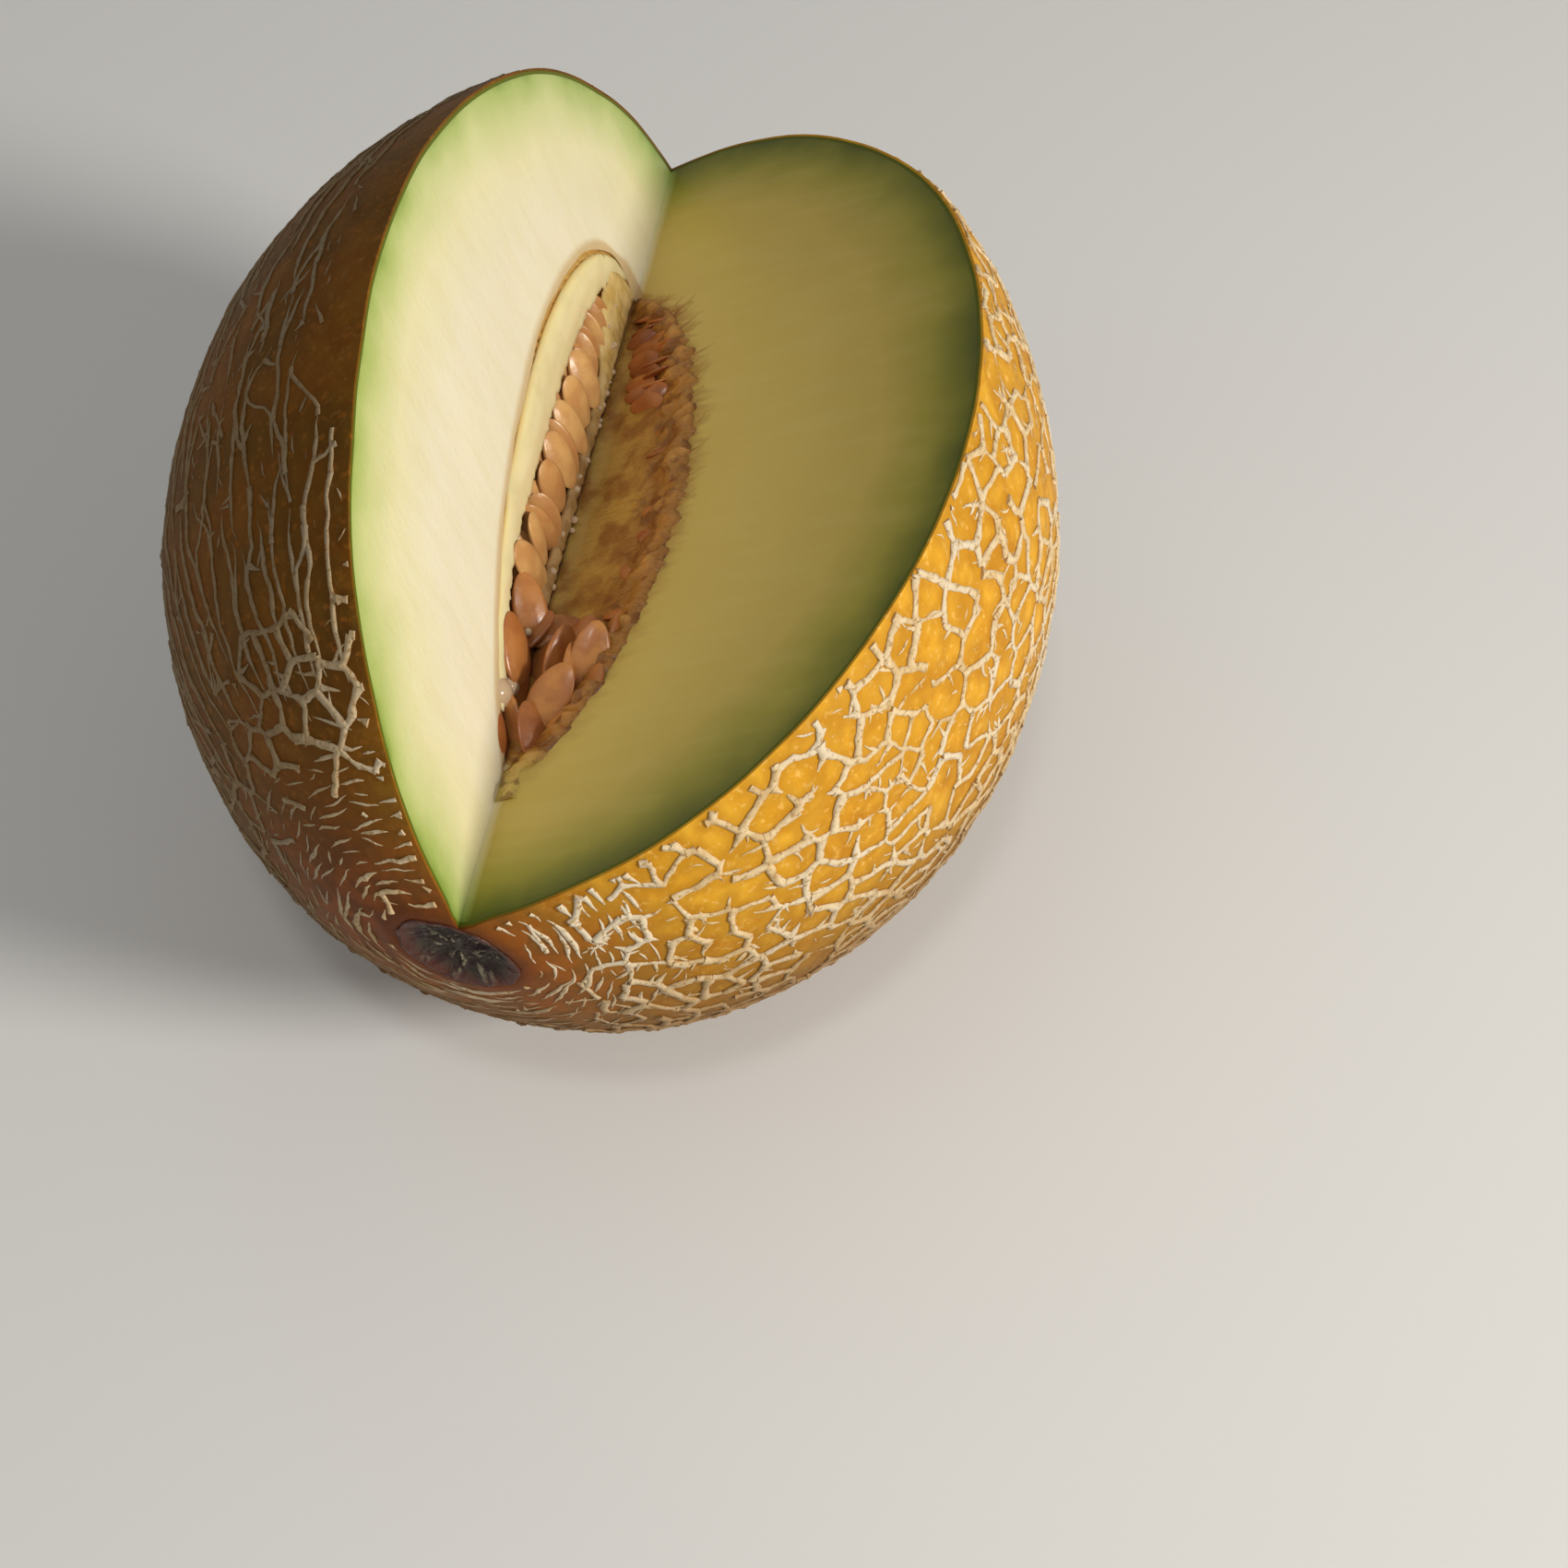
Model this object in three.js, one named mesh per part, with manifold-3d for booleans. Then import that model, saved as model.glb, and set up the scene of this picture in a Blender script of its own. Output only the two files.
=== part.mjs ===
// A ripe galia melon with a wedge cut out of it, lying on its side.
// Millimetres. +Z is up, +Y runs along the fruit from the near scar to the far one, and the wedge opens up.
// The origin is under the middle of the fruit, on the surface that it rests on.

import * as THREE from "three";
import { ConvexGeometry } from "three/addons/geometries/ConvexGeometry.js";
import { ConvexHull } from "three/addons/math/ConvexHull.js";
import { mergeVertices } from "three/addons/utils/BufferGeometryUtils.js";
import Module from "manifold-3d";

const wasm = await Module();
wasm.setup();

const DEGREE = Math.PI / 180;

// Fruit body
const BODY_RADIUS = 72;
const BODY_HALF_LENGTH = 82.15;
const SECTION_FLATNESS = 0.946; // short half axis of the cross-section over the long one
const SECTION_TURN = 110.66 * DEGREE; // direction of the long half axis, from +X towards +Z
const END_FULLNESS = 1.968; // 2 gives round ends, less gives fuller shoulders
const END_TAPER = 0.0607; // the near end is blunter than the far end
const BODY_CENTRE = new THREE.Vector3(0, 0, 70.3); // its height leaves the small flat spot underneath

// Raised net on the rind
const NET_CELLS = 460;
const NET_SEED = 11;
const NET_JITTER = 0.42; // share of a cell's width
const RIDGE_HEIGHT = 0.8;
const RIDGE_HALF_WIDTH = 1.3;
const BROKEN_RIDGE_SHARE = 0.12; // crest points where a ridge fades out

// Wedge cut: two flat faces that meet in an edge line along the fruit
const EDGE_NEAR = new THREE.Vector3(-0.2, -BODY_HALF_LENGTH, 2.8);
const EDGE_FAR = new THREE.Vector3(-15.8, BODY_HALF_LENGTH, 6.4);
const LEFT_FACE_ANGLE = 109.8 * DEGREE; // from +X towards +Z
const RIGHT_FACE_ANGLE = 30.2 * DEGREE;

// Seed cavity: a spindle about the edge line, longer and slimmer towards the near end
const CAVITY_RADIUS = 21.3;
const CAVITY_NEAR = 60;
const CAVITY_FAR = 49;
const CAVITY_SHIFT = 1.5; // the spindle's middle lies this far to the left of the edge line
const CAVITY_LEAN = 0.13; // and moves left by this share of the way to the far end
const CLEARANCE = 0.4;

// Pulp
const PULP_RECESS = 0.8; // below the cut faces
const STRIP_WIDTH = 4.4;
const STRIP_HEIGHT = 2.2;
const STRIP_NEAR = -50;
const STRIP_FAR = 43;

// Seeds
const SEED_LENGTH = 10.4;
const SEED_WIDTH = 4.7;
const SEED_THICKNESS = 2.1;
const SEED_SEED = 23;
const STRAND_RADIUS = 0.9;

// Scars
const NEAR_SCAR = { x: -1.3, z: -4.3, halfWidth: 8.8, halfHeight: 6.9, depth: 2.4, tilt: -18 * DEGREE };
const FAR_SCAR = { x: -12.6, z: 0.6, halfWidth: 4.6, halfHeight: 4.2, depth: 1.3, tilt: 0 };
const SCAR_ROUGHNESS = 0.35;

// A repeatable source of random numbers from 0 to 1
function randomSource(seed) {
  let state = seed;
  return () => {
    state = (state + 0x6d2b79f5) | 0;
    let mixed = Math.imul(state ^ (state >>> 15), 1 | state);
    mixed = (mixed + Math.imul(mixed ^ (mixed >>> 7), 61 | mixed)) ^ mixed;
    return ((mixed ^ (mixed >>> 14)) >>> 0) / 4294967296;
  };
}

// Closed meshes and solids

// Leaves out triangles that merging has turned into a line
function withoutSlivers(indices) {
  const kept = [];
  for (let i = 0; i < indices.length; i += 3) {
    const [a, b, c] = [indices[i], indices[i + 1], indices[i + 2]];
    if (a !== b && b !== c && c !== a) kept.push(a, b, c);
  }
  return kept;
}

function signedVolume(positions, indices) {
  const [a, b, c] = [new THREE.Vector3(), new THREE.Vector3(), new THREE.Vector3()];
  let volume = 0;
  for (let i = 0; i < indices.length; i += 3) {
    a.fromArray(positions, 3 * indices[i]);
    b.fromArray(positions, 3 * indices[i + 1]);
    c.fromArray(positions, 3 * indices[i + 2]);
    volume += a.dot(b.cross(c)) / 6;
  }
  return volume;
}

function toSolid(geometry) {
  const bare = geometry.clone();
  bare.deleteAttribute("normal");
  bare.deleteAttribute("uv");
  const merged = mergeVertices(bare, 1e-4);
  const indices = withoutSlivers(merged.index.array);
  const positions = Float32Array.from(merged.attributes.position.array);
  if (signedVolume(positions, indices) < 0) indices.reverse();
  const mesh = new wasm.Mesh({ numProp: 3, vertProperties: positions, triVerts: Uint32Array.from(indices) });
  return new wasm.Manifold(mesh);
}

function joinAll(solids) {
  return solids.reduce((joined, solid) => joined.add(solid));
}

function indexedGeometry(positions, indices) {
  const geometry = new THREE.BufferGeometry();
  geometry.setAttribute("position", new THREE.Float32BufferAttribute(positions, 3));
  geometry.setIndex(indices);
  return geometry;
}

// The largest connected piece of a solid, so that a cut leaves no loose crumbs
function toGeometry(solid) {
  const mesh = solid.getMesh();
  const parent = Array.from({ length: mesh.vertProperties.length / 3 }, (_, i) => i);
  const root = (i) => {
    while (parent[i] !== i) {
      parent[i] = parent[parent[i]];
      i = parent[i];
    }
    return i;
  };
  for (let i = 0; i < mesh.triVerts.length; i += 3) {
    parent[root(mesh.triVerts[i])] = root(mesh.triVerts[i + 1]);
    parent[root(mesh.triVerts[i + 1])] = root(mesh.triVerts[i + 2]);
  }
  const pieces = new Map();
  for (let i = 0; i < mesh.triVerts.length; i += 3) {
    const key = root(mesh.triVerts[i]);
    if (!pieces.has(key)) pieces.set(key, []);
    pieces.get(key).push(mesh.triVerts[i], mesh.triVerts[i + 1], mesh.triVerts[i + 2]);
  }
  const largest = [...pieces.values()].reduce((a, b) => (b.length > a.length ? b : a));
  const loose = indexedGeometry(mesh.vertProperties, largest).toNonIndexed();
  return mergeVertices(loose, 1e-5);
}

// A closed skin over a chain of rings with equally many points, with a flat cap on each end ring
function loft(rings) {
  const count = rings[0].length;
  const positions = rings.flat().flatMap((point) => point.toArray());
  const indices = [];
  for (let k = 0; k + 1 < rings.length; k++) {
    for (let i = 0; i < count; i++) {
      const a = k * count + i;
      const b = k * count + ((i + 1) % count);
      indices.push(a, b, a + count, b, b + count, a + count);
    }
  }
  const last = (rings.length - 1) * count;
  for (let i = 1; i + 1 < count; i++) {
    indices.push(0, i + 1, i, last, last + i, last + i + 1);
  }
  return indexedGeometry(positions, indices);
}

function ring(centre, side, up, halfWidth, halfHeight, count) {
  return Array.from({ length: count }, (_, i) => {
    const angle = (2 * Math.PI * i) / count;
    return centre
      .clone()
      .addScaledVector(side, halfWidth * Math.cos(angle))
      .addScaledVector(up, halfHeight * Math.sin(angle));
  });
}

// The fruit's outer surface

// A point of the unit sphere, taken to the skin and then lifted along the skin's normal
function onSkin(unit, lift) {
  const girth =
    BODY_RADIUS * Math.sqrt(Math.max(0, 1 - Math.abs(unit.y) ** END_FULLNESS)) * (1 - END_TAPER * unit.y);
  const around = Math.atan2(unit.z, unit.x) - SECTION_TURN;
  const long = Math.cos(around);
  const short = Math.sin(around);
  const skin = new THREE.Vector3(girth * long, BODY_HALF_LENGTH * unit.y, girth * SECTION_FLATNESS * short);
  const flank = Math.hypot(unit.x, unit.z);
  const normal = new THREE.Vector3(
    (flank * long) / BODY_RADIUS,
    unit.y / BODY_HALF_LENGTH,
    (flank * short) / (BODY_RADIUS * SECTION_FLATNESS),
  ).normalize();
  return skin.addScaledVector(normal, lift).applyAxisAngle(new THREE.Vector3(0, 1, 0), -SECTION_TURN);
}

// Evenly spread points on the unit sphere, each moved a little
function netCellCentres(random) {
  const spacing = Math.sqrt((4 * Math.PI) / NET_CELLS);
  const goldenAngle = Math.PI * (3 - Math.sqrt(5));
  return Array.from({ length: NET_CELLS }, (_, i) => {
    const y = 1 - (2 * i + 1) / NET_CELLS;
    const flank = Math.sqrt(1 - y * y);
    const point = new THREE.Vector3(flank * Math.cos(goldenAngle * i), y, flank * Math.sin(goldenAngle * i));
    const shove = () => (random() - 0.5) * 2 * NET_JITTER * spacing;
    return point.add(new THREE.Vector3(shove(), shove(), shove())).normalize();
  });
}

// The whole fruit with its net: each cell between the ridges is a patch of skin, and the ridges run along the
// borders of the cells, which are the Voronoi cells of the spread points
function nettedBody() {
  const random = randomSource(NET_SEED);
  const centres = netCellCentres(random);
  const order = new Map(centres.map((point, i) => [point, i]));
  const hull = new ConvexHull().setFromPoints(centres);
  const corners = hull.faces.map((face) => face.normal.clone().normalize());
  const cornersOfCell = centres.map(() => []);
  hull.faces.forEach((face, corner) => {
    let edge = face.edge;
    do {
      cornersOfCell[order.get(edge.head().point)].push(corner);
      edge = edge.next;
    } while (edge !== face.edge);
  });
  const crest = corners.map((corner) => {
    const height = random() < BROKEN_RIDGE_SHARE ? 0.15 : 0.75 + 0.5 * random();
    return onSkin(corner, RIDGE_HEIGHT * height);
  });
  const positions = crest.flatMap((point) => point.toArray());
  const indices = [];
  const add = (point) => {
    positions.push(...point.toArray());
    return positions.length / 3 - 1;
  };
  centres.forEach((centre, cell) => {
    const east = new THREE.Vector3(0, 1, 0).cross(centre).normalize();
    const north = centre.clone().cross(east);
    const bearing = (corner) => Math.atan2(corners[corner].dot(north), corners[corner].dot(east));
    const around = [...cornersOfCell[cell]].sort((a, b) => bearing(a) - bearing(b));
    const middleUnit = around
      .reduce((sum, corner) => sum.add(corners[corner]), new THREE.Vector3())
      .normalize();
    const middle = add(onSkin(middleUnit, 0));
    const foot = around.map((corner) => {
      const reach = corners[corner].distanceTo(middleUnit) * BODY_RADIUS;
      const share = Math.min(0.5, RIDGE_HALF_WIDTH / reach);
      return add(onSkin(corners[corner].clone().lerp(middleUnit, share).normalize(), 0));
    });
    around.forEach((corner, i) => {
      const next = (i + 1) % around.length;
      indices.push(corner, around[next], foot[next], corner, foot[next], foot[i]);
      indices.push(foot[i], foot[next], middle);
    });
  });
  return toSolid(indexedGeometry(positions, indices));
}

// The wedge's two faces

const EDGE = EDGE_FAR.clone().sub(EDGE_NEAR).normalize();

function edgePoint(y) {
  const share = (y - EDGE_NEAR.y) / (EDGE_FAR.y - EDGE_NEAR.y);
  return EDGE_NEAR.clone().lerp(EDGE_FAR, share);
}

// A face has an in-plane direction away from the edge line, and a normal that points into the open wedge
function cutFace(angle, otherAngle) {
  const rise = new THREE.Vector3(Math.cos(angle), 0, Math.sin(angle));
  const away = rise.clone().addScaledVector(EDGE, -rise.dot(EDGE)).normalize();
  const normal = EDGE.clone().cross(away).normalize();
  const other = new THREE.Vector3(Math.cos(otherAngle), 0, Math.sin(otherAngle));
  if (normal.dot(other) < 0) normal.negate();
  return { away, normal };
}

const LEFT_FACE = cutFace(LEFT_FACE_ANGLE, RIGHT_FACE_ANGLE);
const RIGHT_FACE = cutFace(RIGHT_FACE_ANGLE, LEFT_FACE_ANGLE);
const TO_THE_LEFT = LEFT_FACE.away.clone().sub(RIGHT_FACE.away).normalize();
const OUT_OF_WEDGE = LEFT_FACE.away.clone().add(RIGHT_FACE.away).normalize();

// A point given by its place along the fruit, its distance from the edge line, and its height over the face
function onFace(face, y, away, height) {
  return edgePoint(y).addScaledVector(face.away, away).addScaledVector(face.normal, height);
}

// The wedge of air, with its faces pulled back by a depth into the fruit
function wedge(depth) {
  const sineOfHalfAngle = Math.sqrt((1 - LEFT_FACE.away.dot(RIGHT_FACE.away)) / 2);
  const overrun = 1.2 * BODY_HALF_LENGTH;
  const reach = 3 * BODY_RADIUS;
  const points = [];
  for (const y of [-overrun, overrun]) {
    const apex = edgePoint(y).addScaledVector(OUT_OF_WEDGE, -depth / sineOfHalfAngle);
    points.push(apex);
    for (const face of [LEFT_FACE, RIGHT_FACE]) points.push(apex.clone().addScaledVector(face.away, reach));
  }
  return toSolid(new ConvexGeometry(points));
}

// The seed cavity

function cavityRadius(y, shrink) {
  const radius = CAVITY_RADIUS - shrink;
  if (y < 0) return radius * Math.cos((Math.PI / 2) * Math.min(1, -y / (CAVITY_NEAR - 2 * shrink))) ** 0.8;
  return radius * Math.sqrt(Math.max(0, 1 - (y / (CAVITY_FAR - 1.3 * shrink)) ** 2.4));
}

function cavityMiddle(y) {
  return edgePoint(y).addScaledVector(TO_THE_LEFT, CAVITY_SHIFT + CAVITY_LEAN * y);
}

// How far from the edge line a cut face meets the cavity's wall
function cavityReach(face, y) {
  const shift = CAVITY_SHIFT + CAVITY_LEAN * y;
  const along = shift * TO_THE_LEFT.dot(face.away);
  return along + Math.sqrt(Math.max(0, cavityRadius(y, 0) ** 2 - shift ** 2 + along ** 2));
}

function cavity(shrink) {
  const stations = 14;
  const sides = 24;
  const side = new THREE.Vector3(1, 0, 0);
  const up = new THREE.Vector3(0, 0, 1);
  const near = 0.985 * (CAVITY_NEAR - 2 * shrink);
  const far = 0.995 * (CAVITY_FAR - 1.3 * shrink);
  const rings = Array.from({ length: stations }, (_, k) => {
    const angle = (Math.PI / 2) * ((2 * k) / (stations - 1) - 1);
    const y = Math.sin(angle) * (angle < 0 ? near : far);
    const radius = cavityRadius(y, shrink);
    return ring(cavityMiddle(y), side, up, radius, radius, sides);
  });
  return toSolid(loft(rings));
}

// A scar is a shallow dish with a rough corky middle, cut with a tool that reaches in from outside the fruit
function scarTool(scar, outward) {
  const random = randomSource(NET_SEED + 1);
  const sides = 18;
  const rimHeight = 12;
  // share of the scar's radius, and share of its depth
  const profile = [
    [1, 0],
    [0.86, 0.62],
    [0.66, 1],
    [0.44, 0.6],
    [0.2, 0.35],
  ];
  const away = new THREE.Vector3(0, outward, 0);
  const flank = Math.hypot(scar.x, scar.z) / BODY_RADIUS;
  const rim = outward * BODY_HALF_LENGTH * Math.sqrt(1 - flank ** 2);
  const centre = new THREE.Vector3(scar.x, rim, scar.z);
  const side = new THREE.Vector3(Math.cos(scar.tilt), 0, Math.sin(scar.tilt));
  const up = new THREE.Vector3(-Math.sin(scar.tilt), 0, Math.cos(scar.tilt));
  const outer = centre.clone().addScaledVector(away, rimHeight);
  const rings = [ring(outer, side, up, 1.3 * scar.halfWidth, 1.3 * scar.halfHeight, sides)];
  for (const [reach, depth] of profile) {
    const middle = centre.clone().addScaledVector(away, -depth * scar.depth);
    const points = ring(middle, side, up, reach * scar.halfWidth, reach * scar.halfHeight, sides);
    const roughness = depth > 0 ? SCAR_ROUGHNESS : 0;
    for (const point of points) point.addScaledVector(away, (random() - 0.5) * 2 * roughness);
    rings.push(points);
  }
  return toSolid(loft(rings));
}

function ground() {
  const size = 4 * BODY_RADIUS;
  const block = new THREE.BoxGeometry(size, size, size);
  block.translate(0, 0, -BODY_CENTRE.z - size / 2);
  return toSolid(block);
}

function fruit() {
  const cut = [wedge(0), cavity(0), scarTool(NEAR_SCAR, -1), scarTool(FAR_SCAR, 1), ground()];
  return cut.reduce((body, tool) => body.subtract(tool), nettedBody());
}

// Seeds

// Share of the half width, and share of the length from the blunt end to the pointed one
const SEED_OUTLINE = [
  [0, 0],
  [0.74, 0.12],
  [1, 0.42],
  [0.66, 0.84],
  [0, 1],
];

function seedShape() {
  const points = SEED_OUTLINE.map(
    ([width, share]) => new THREE.Vector2((width * SEED_WIDTH) / 2, (share - 0.5) * SEED_LENGTH),
  );
  return new THREE.LatheGeometry(points, 8).scale(1, 1, SEED_THICKNESS / SEED_WIDTH);
}

// A seed lies on a face with its pointed end towards the edge line. It is turned in the face, rolled about
// its own length, and raised at one end.
function placedSeed(place) {
  const { face, y, away, height, turn, roll, raise } = place;
  const long = face.away.clone().negate();
  const wide = long.clone().cross(face.normal);
  const basis = new THREE.Matrix4().makeBasis(wide, long, face.normal);
  basis.multiply(new THREE.Matrix4().makeRotationFromEuler(new THREE.Euler(raise, roll, turn, "ZYX")));
  basis.setPosition(onFace(face, y, away, height));
  return toSolid(seedShape().applyMatrix4(basis));
}

// The middle line of a bunch, moved to a height over the face
function middleLine(places, height) {
  const first = places[0];
  const last = places.at(-1);
  const steps = 8;
  const mean = (y) => {
    const near = places.filter((place) => Math.abs(place.y - y) < 1.2 * SEED_LENGTH);
    return near.reduce((sum, place) => sum + place.away, 0) / near.length;
  };
  return Array.from({ length: steps + 1 }, (_, k) => {
    const y = first.y + ((last.y - first.y) * k) / steps;
    return onFace(first.face, y, mean(y), height);
  });
}

// The seeds of a bunch hang on a strand, a slim round cord below their middles
function seedBunch(places, strandHeight) {
  const { away, normal } = places[0].face;
  const rings = middleLine(places, strandHeight).map((point) =>
    ring(point, away, normal, STRAND_RADIUS, STRAND_RADIUS, 6),
  );
  return joinAll([toSolid(loft(rings)), ...places.map(placedSeed)]);
}

// The hollow in the pulp that a bunch lies in
function seedBed(places, halfWidth, halfDepth) {
  const { away, normal } = places[0].face;
  const overrun = 1.1 * SEED_WIDTH;
  const points = middleLine(places, 0);
  const before = points[0].clone().addScaledVector(EDGE, overrun);
  const after = points.at(-1).clone().addScaledVector(EDGE, -overrun);
  const rings = points.map((point) => ring(point, away, normal, halfWidth, halfDepth, 12));
  const [first, last] = [before, after].map((point) =>
    ring(point, away, normal, 0.7 * halfWidth, 0.7 * halfDepth, 12),
  );
  return toSolid(loft([first, ...rings, last]));
}

const seedRandom = randomSource(SEED_SEED);
const spread = (width) => (seedRandom() - 0.5) * 2 * width;

// Flat shingles along the left face, from the far end to the near one
const LEFT_ROW = Array.from({ length: 15 }, (_, i) => {
  const y = 31 - 4.6 * i;
  const narrowing = Math.max(0, -y) / 35;
  return {
    face: LEFT_FACE,
    y,
    away: 8.4 - 2.2 * narrowing + spread(0.5),
    height: 0.35 + spread(0.15),
    turn: (-6 - 24 * narrowing) * DEGREE + spread(7 * DEGREE),
    roll: 27 * DEGREE + spread(7 * DEGREE),
    raise: spread(4 * DEGREE),
  };
});

// Half buried seeds along the right face, bunched towards the far end
const RIGHT_ROW = Array.from({ length: 14 }, (_, i) => {
  const y = 35 - 4.1 * i;
  const reach = cavityReach(RIGHT_FACE, y);
  return {
    face: RIGHT_FACE,
    y,
    away: reach - 6.8 - 1.2 * (i % 2),
    height: 0.15 + spread(0.25),
    turn: spread(25 * DEGREE),
    roll: -30 * DEGREE + spread(12 * DEGREE),
    raise: -6 * DEGREE + spread(5 * DEGREE),
  };
});

// Loose seeds that stand out at the near end, lengthwise in two columns whose inner edges meet the strand
const CLUSTER = Array.from({ length: 9 }, (_, i) => {
  const column = i % 2 ? 1 : -1;
  return {
    face: RIGHT_FACE,
    y: -27 - 2.3 * i,
    away: 7.8 + column * 2.4 - 0.15 * i + spread(0.3),
    height: 1.6 + spread(0.3),
    turn: 90 * DEGREE + spread(20 * DEGREE),
    roll: column * 30 * DEGREE + spread(8 * DEGREE),
    raise: -10 * DEGREE + spread(6 * DEGREE),
  };
});

const ROW_STRAND_HEIGHT = -0.7;
const CLUSTER_STRAND_HEIGHT = 0.4;

// Pulp that fills the cavity below the cut faces, with a pale strip of skin along its left border and a soft
// ridge along the edge line
function borderStrip() {
  const stations = 18;
  const rings = Array.from({ length: stations }, (_, k) => {
    const y = STRIP_FAR + ((STRIP_NEAR - STRIP_FAR) * k) / (stations - 1);
    const reach = cavityReach(LEFT_FACE, y);
    const halfWidth = Math.min(STRIP_WIDTH, 0.5 * reach) / 2;
    const middle = onFace(LEFT_FACE, y, reach - halfWidth - 2 * CLEARANCE, -PULP_RECESS);
    return ring(middle, LEFT_FACE.away, LEFT_FACE.normal, halfWidth, STRIP_HEIGHT / 2, 8);
  });
  return toSolid(loft(rings));
}

function edgeRidge() {
  const stations = 10;
  const near = -22;
  const far = 43;
  const rings = Array.from({ length: stations }, (_, k) => {
    const y = far + ((near - far) * k) / (stations - 1);
    const radius = 1.5 + 0.3 * Math.sin(2.1 * k);
    return ring(onFace(LEFT_FACE, y, 1.9, 0.1), LEFT_FACE.away, LEFT_FACE.normal, radius, radius, 8);
  });
  return toSolid(loft(rings));
}

function placenta() {
  const filling = cavity(CLEARANCE).subtract(wedge(PULP_RECESS));
  const relief = joinAll([filling, borderStrip(), edgeRidge()]).intersect(cavity(CLEARANCE));
  const beds = [seedBed(LEFT_ROW, 6.4, 2.6), seedBed(RIGHT_ROW, 8.2, 4), seedBed(CLUSTER, 6.6, 3.2)];
  return beds.reduce((pulp, bed) => pulp.subtract(bed), relief);
}

// Finishes and the finished fruit

const rind = new THREE.MeshStandardMaterial({ color: 0xcd922a, roughness: 0.6, metalness: 0 });
const pulp = new THREE.MeshStandardMaterial({ color: 0xa87c3a, roughness: 0.3, metalness: 0 });
const seedCoat = new THREE.MeshStandardMaterial({ color: 0xc08b4f, roughness: 0.35, metalness: 0 });

function named(name, solid, material) {
  const mesh = new THREE.Mesh(toGeometry(solid), material);
  mesh.name = name;
  return mesh;
}

const leftRow = seedBunch(LEFT_ROW, ROW_STRAND_HEIGHT);
const rightRow = seedBunch(RIGHT_ROW, ROW_STRAND_HEIGHT);
const cluster = seedBunch(CLUSTER, CLUSTER_STRAND_HEIGHT);

const melon = new THREE.Group();
melon.add(named("fruit", fruit(), rind));
melon.add(named("placenta", placenta(), pulp));
melon.add(named("seed_row_left", leftRow, seedCoat));
melon.add(named("seed_row_right", rightRow, seedCoat));
melon.add(named("seed_cluster", cluster, seedCoat));
melon.position.copy(BODY_CENTRE);

export default melon;
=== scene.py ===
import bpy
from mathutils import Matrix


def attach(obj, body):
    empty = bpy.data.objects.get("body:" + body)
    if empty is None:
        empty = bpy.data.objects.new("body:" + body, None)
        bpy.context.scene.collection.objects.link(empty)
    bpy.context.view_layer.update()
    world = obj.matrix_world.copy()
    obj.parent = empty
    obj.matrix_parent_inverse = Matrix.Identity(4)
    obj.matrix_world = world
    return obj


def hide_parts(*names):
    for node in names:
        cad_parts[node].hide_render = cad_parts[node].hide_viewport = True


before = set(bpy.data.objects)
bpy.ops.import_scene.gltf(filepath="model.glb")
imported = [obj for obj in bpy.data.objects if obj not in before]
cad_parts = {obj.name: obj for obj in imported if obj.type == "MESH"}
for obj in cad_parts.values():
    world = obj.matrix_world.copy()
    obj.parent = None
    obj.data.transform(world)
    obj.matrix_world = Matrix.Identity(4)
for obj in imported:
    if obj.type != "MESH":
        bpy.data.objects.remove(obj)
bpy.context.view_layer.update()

# %% [markdown]
# The fruit is an egg-like body. Its length runs along Y, and every slice across it is a slightly flattened
# ellipse. The numbers are in millimetres, measured from the middle of the fruit, and one helper turns a
# list of such points into a Blender mesh in metres, so that no object ever has to be moved or scaled.
# %% Sizes of the fruit and a mesh helper
import math
import random

import bmesh
import bpy
import numpy as np
from mathutils import Matrix, Vector, kdtree, noise

MM = 0.001
BODY_RADIUS = 72.0
BODY_HALF_LENGTH = 82.15
SECTION_FLATNESS = 0.946
SECTION_TURN = math.radians(110.66)
END_FULLNESS = 1.968
END_TAPER = 0.0607
BODY_HEIGHT = 70.3
SKIN_THICKNESS = 0.9


def make_mesh(name, points, faces, attributes=None):
    """A smooth mesh object from points in millimetres around the fruit's middle, and faces as index lists."""
    points = np.asarray(points, float).reshape(-1, 3)
    mesh = bpy.data.meshes.new(name)
    mesh.from_pydata((points + (0, 0, BODY_HEIGHT)) * MM, [], [list(map(int, face)) for face in faces])
    mesh.validate()
    for key, values in (attributes or {}).items():
        store(mesh, key, values)
    mesh.shade_smooth()
    piece = bpy.data.objects.new(name, mesh)
    bpy.context.scene.collection.objects.link(piece)
    return piece


def store(mesh, key, values):
    """One number or one vector for each vertex, kept under a name that materials and node trees can read."""
    values = np.asarray(values, np.float32)
    kind, field = ("FLOAT_VECTOR", "vector") if values.ndim == 2 else ("FLOAT", "value")
    attribute = mesh.attributes.get(key) or mesh.attributes.new(key, kind, "POINT")
    attribute.data.foreach_set(field, values.ravel())


def mesh_points(mesh):
    """The vertices of a mesh in millimetres around the fruit's middle."""
    flat = np.zeros(3 * len(mesh.vertices))
    mesh.vertices.foreach_get("co", flat)
    return flat.reshape(-1, 3) / MM - (0, 0, BODY_HEIGHT)


print("body", 2 * BODY_RADIUS, "mm wide and", 2 * BODY_HALF_LENGTH, "mm long before its flat spot")

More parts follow.
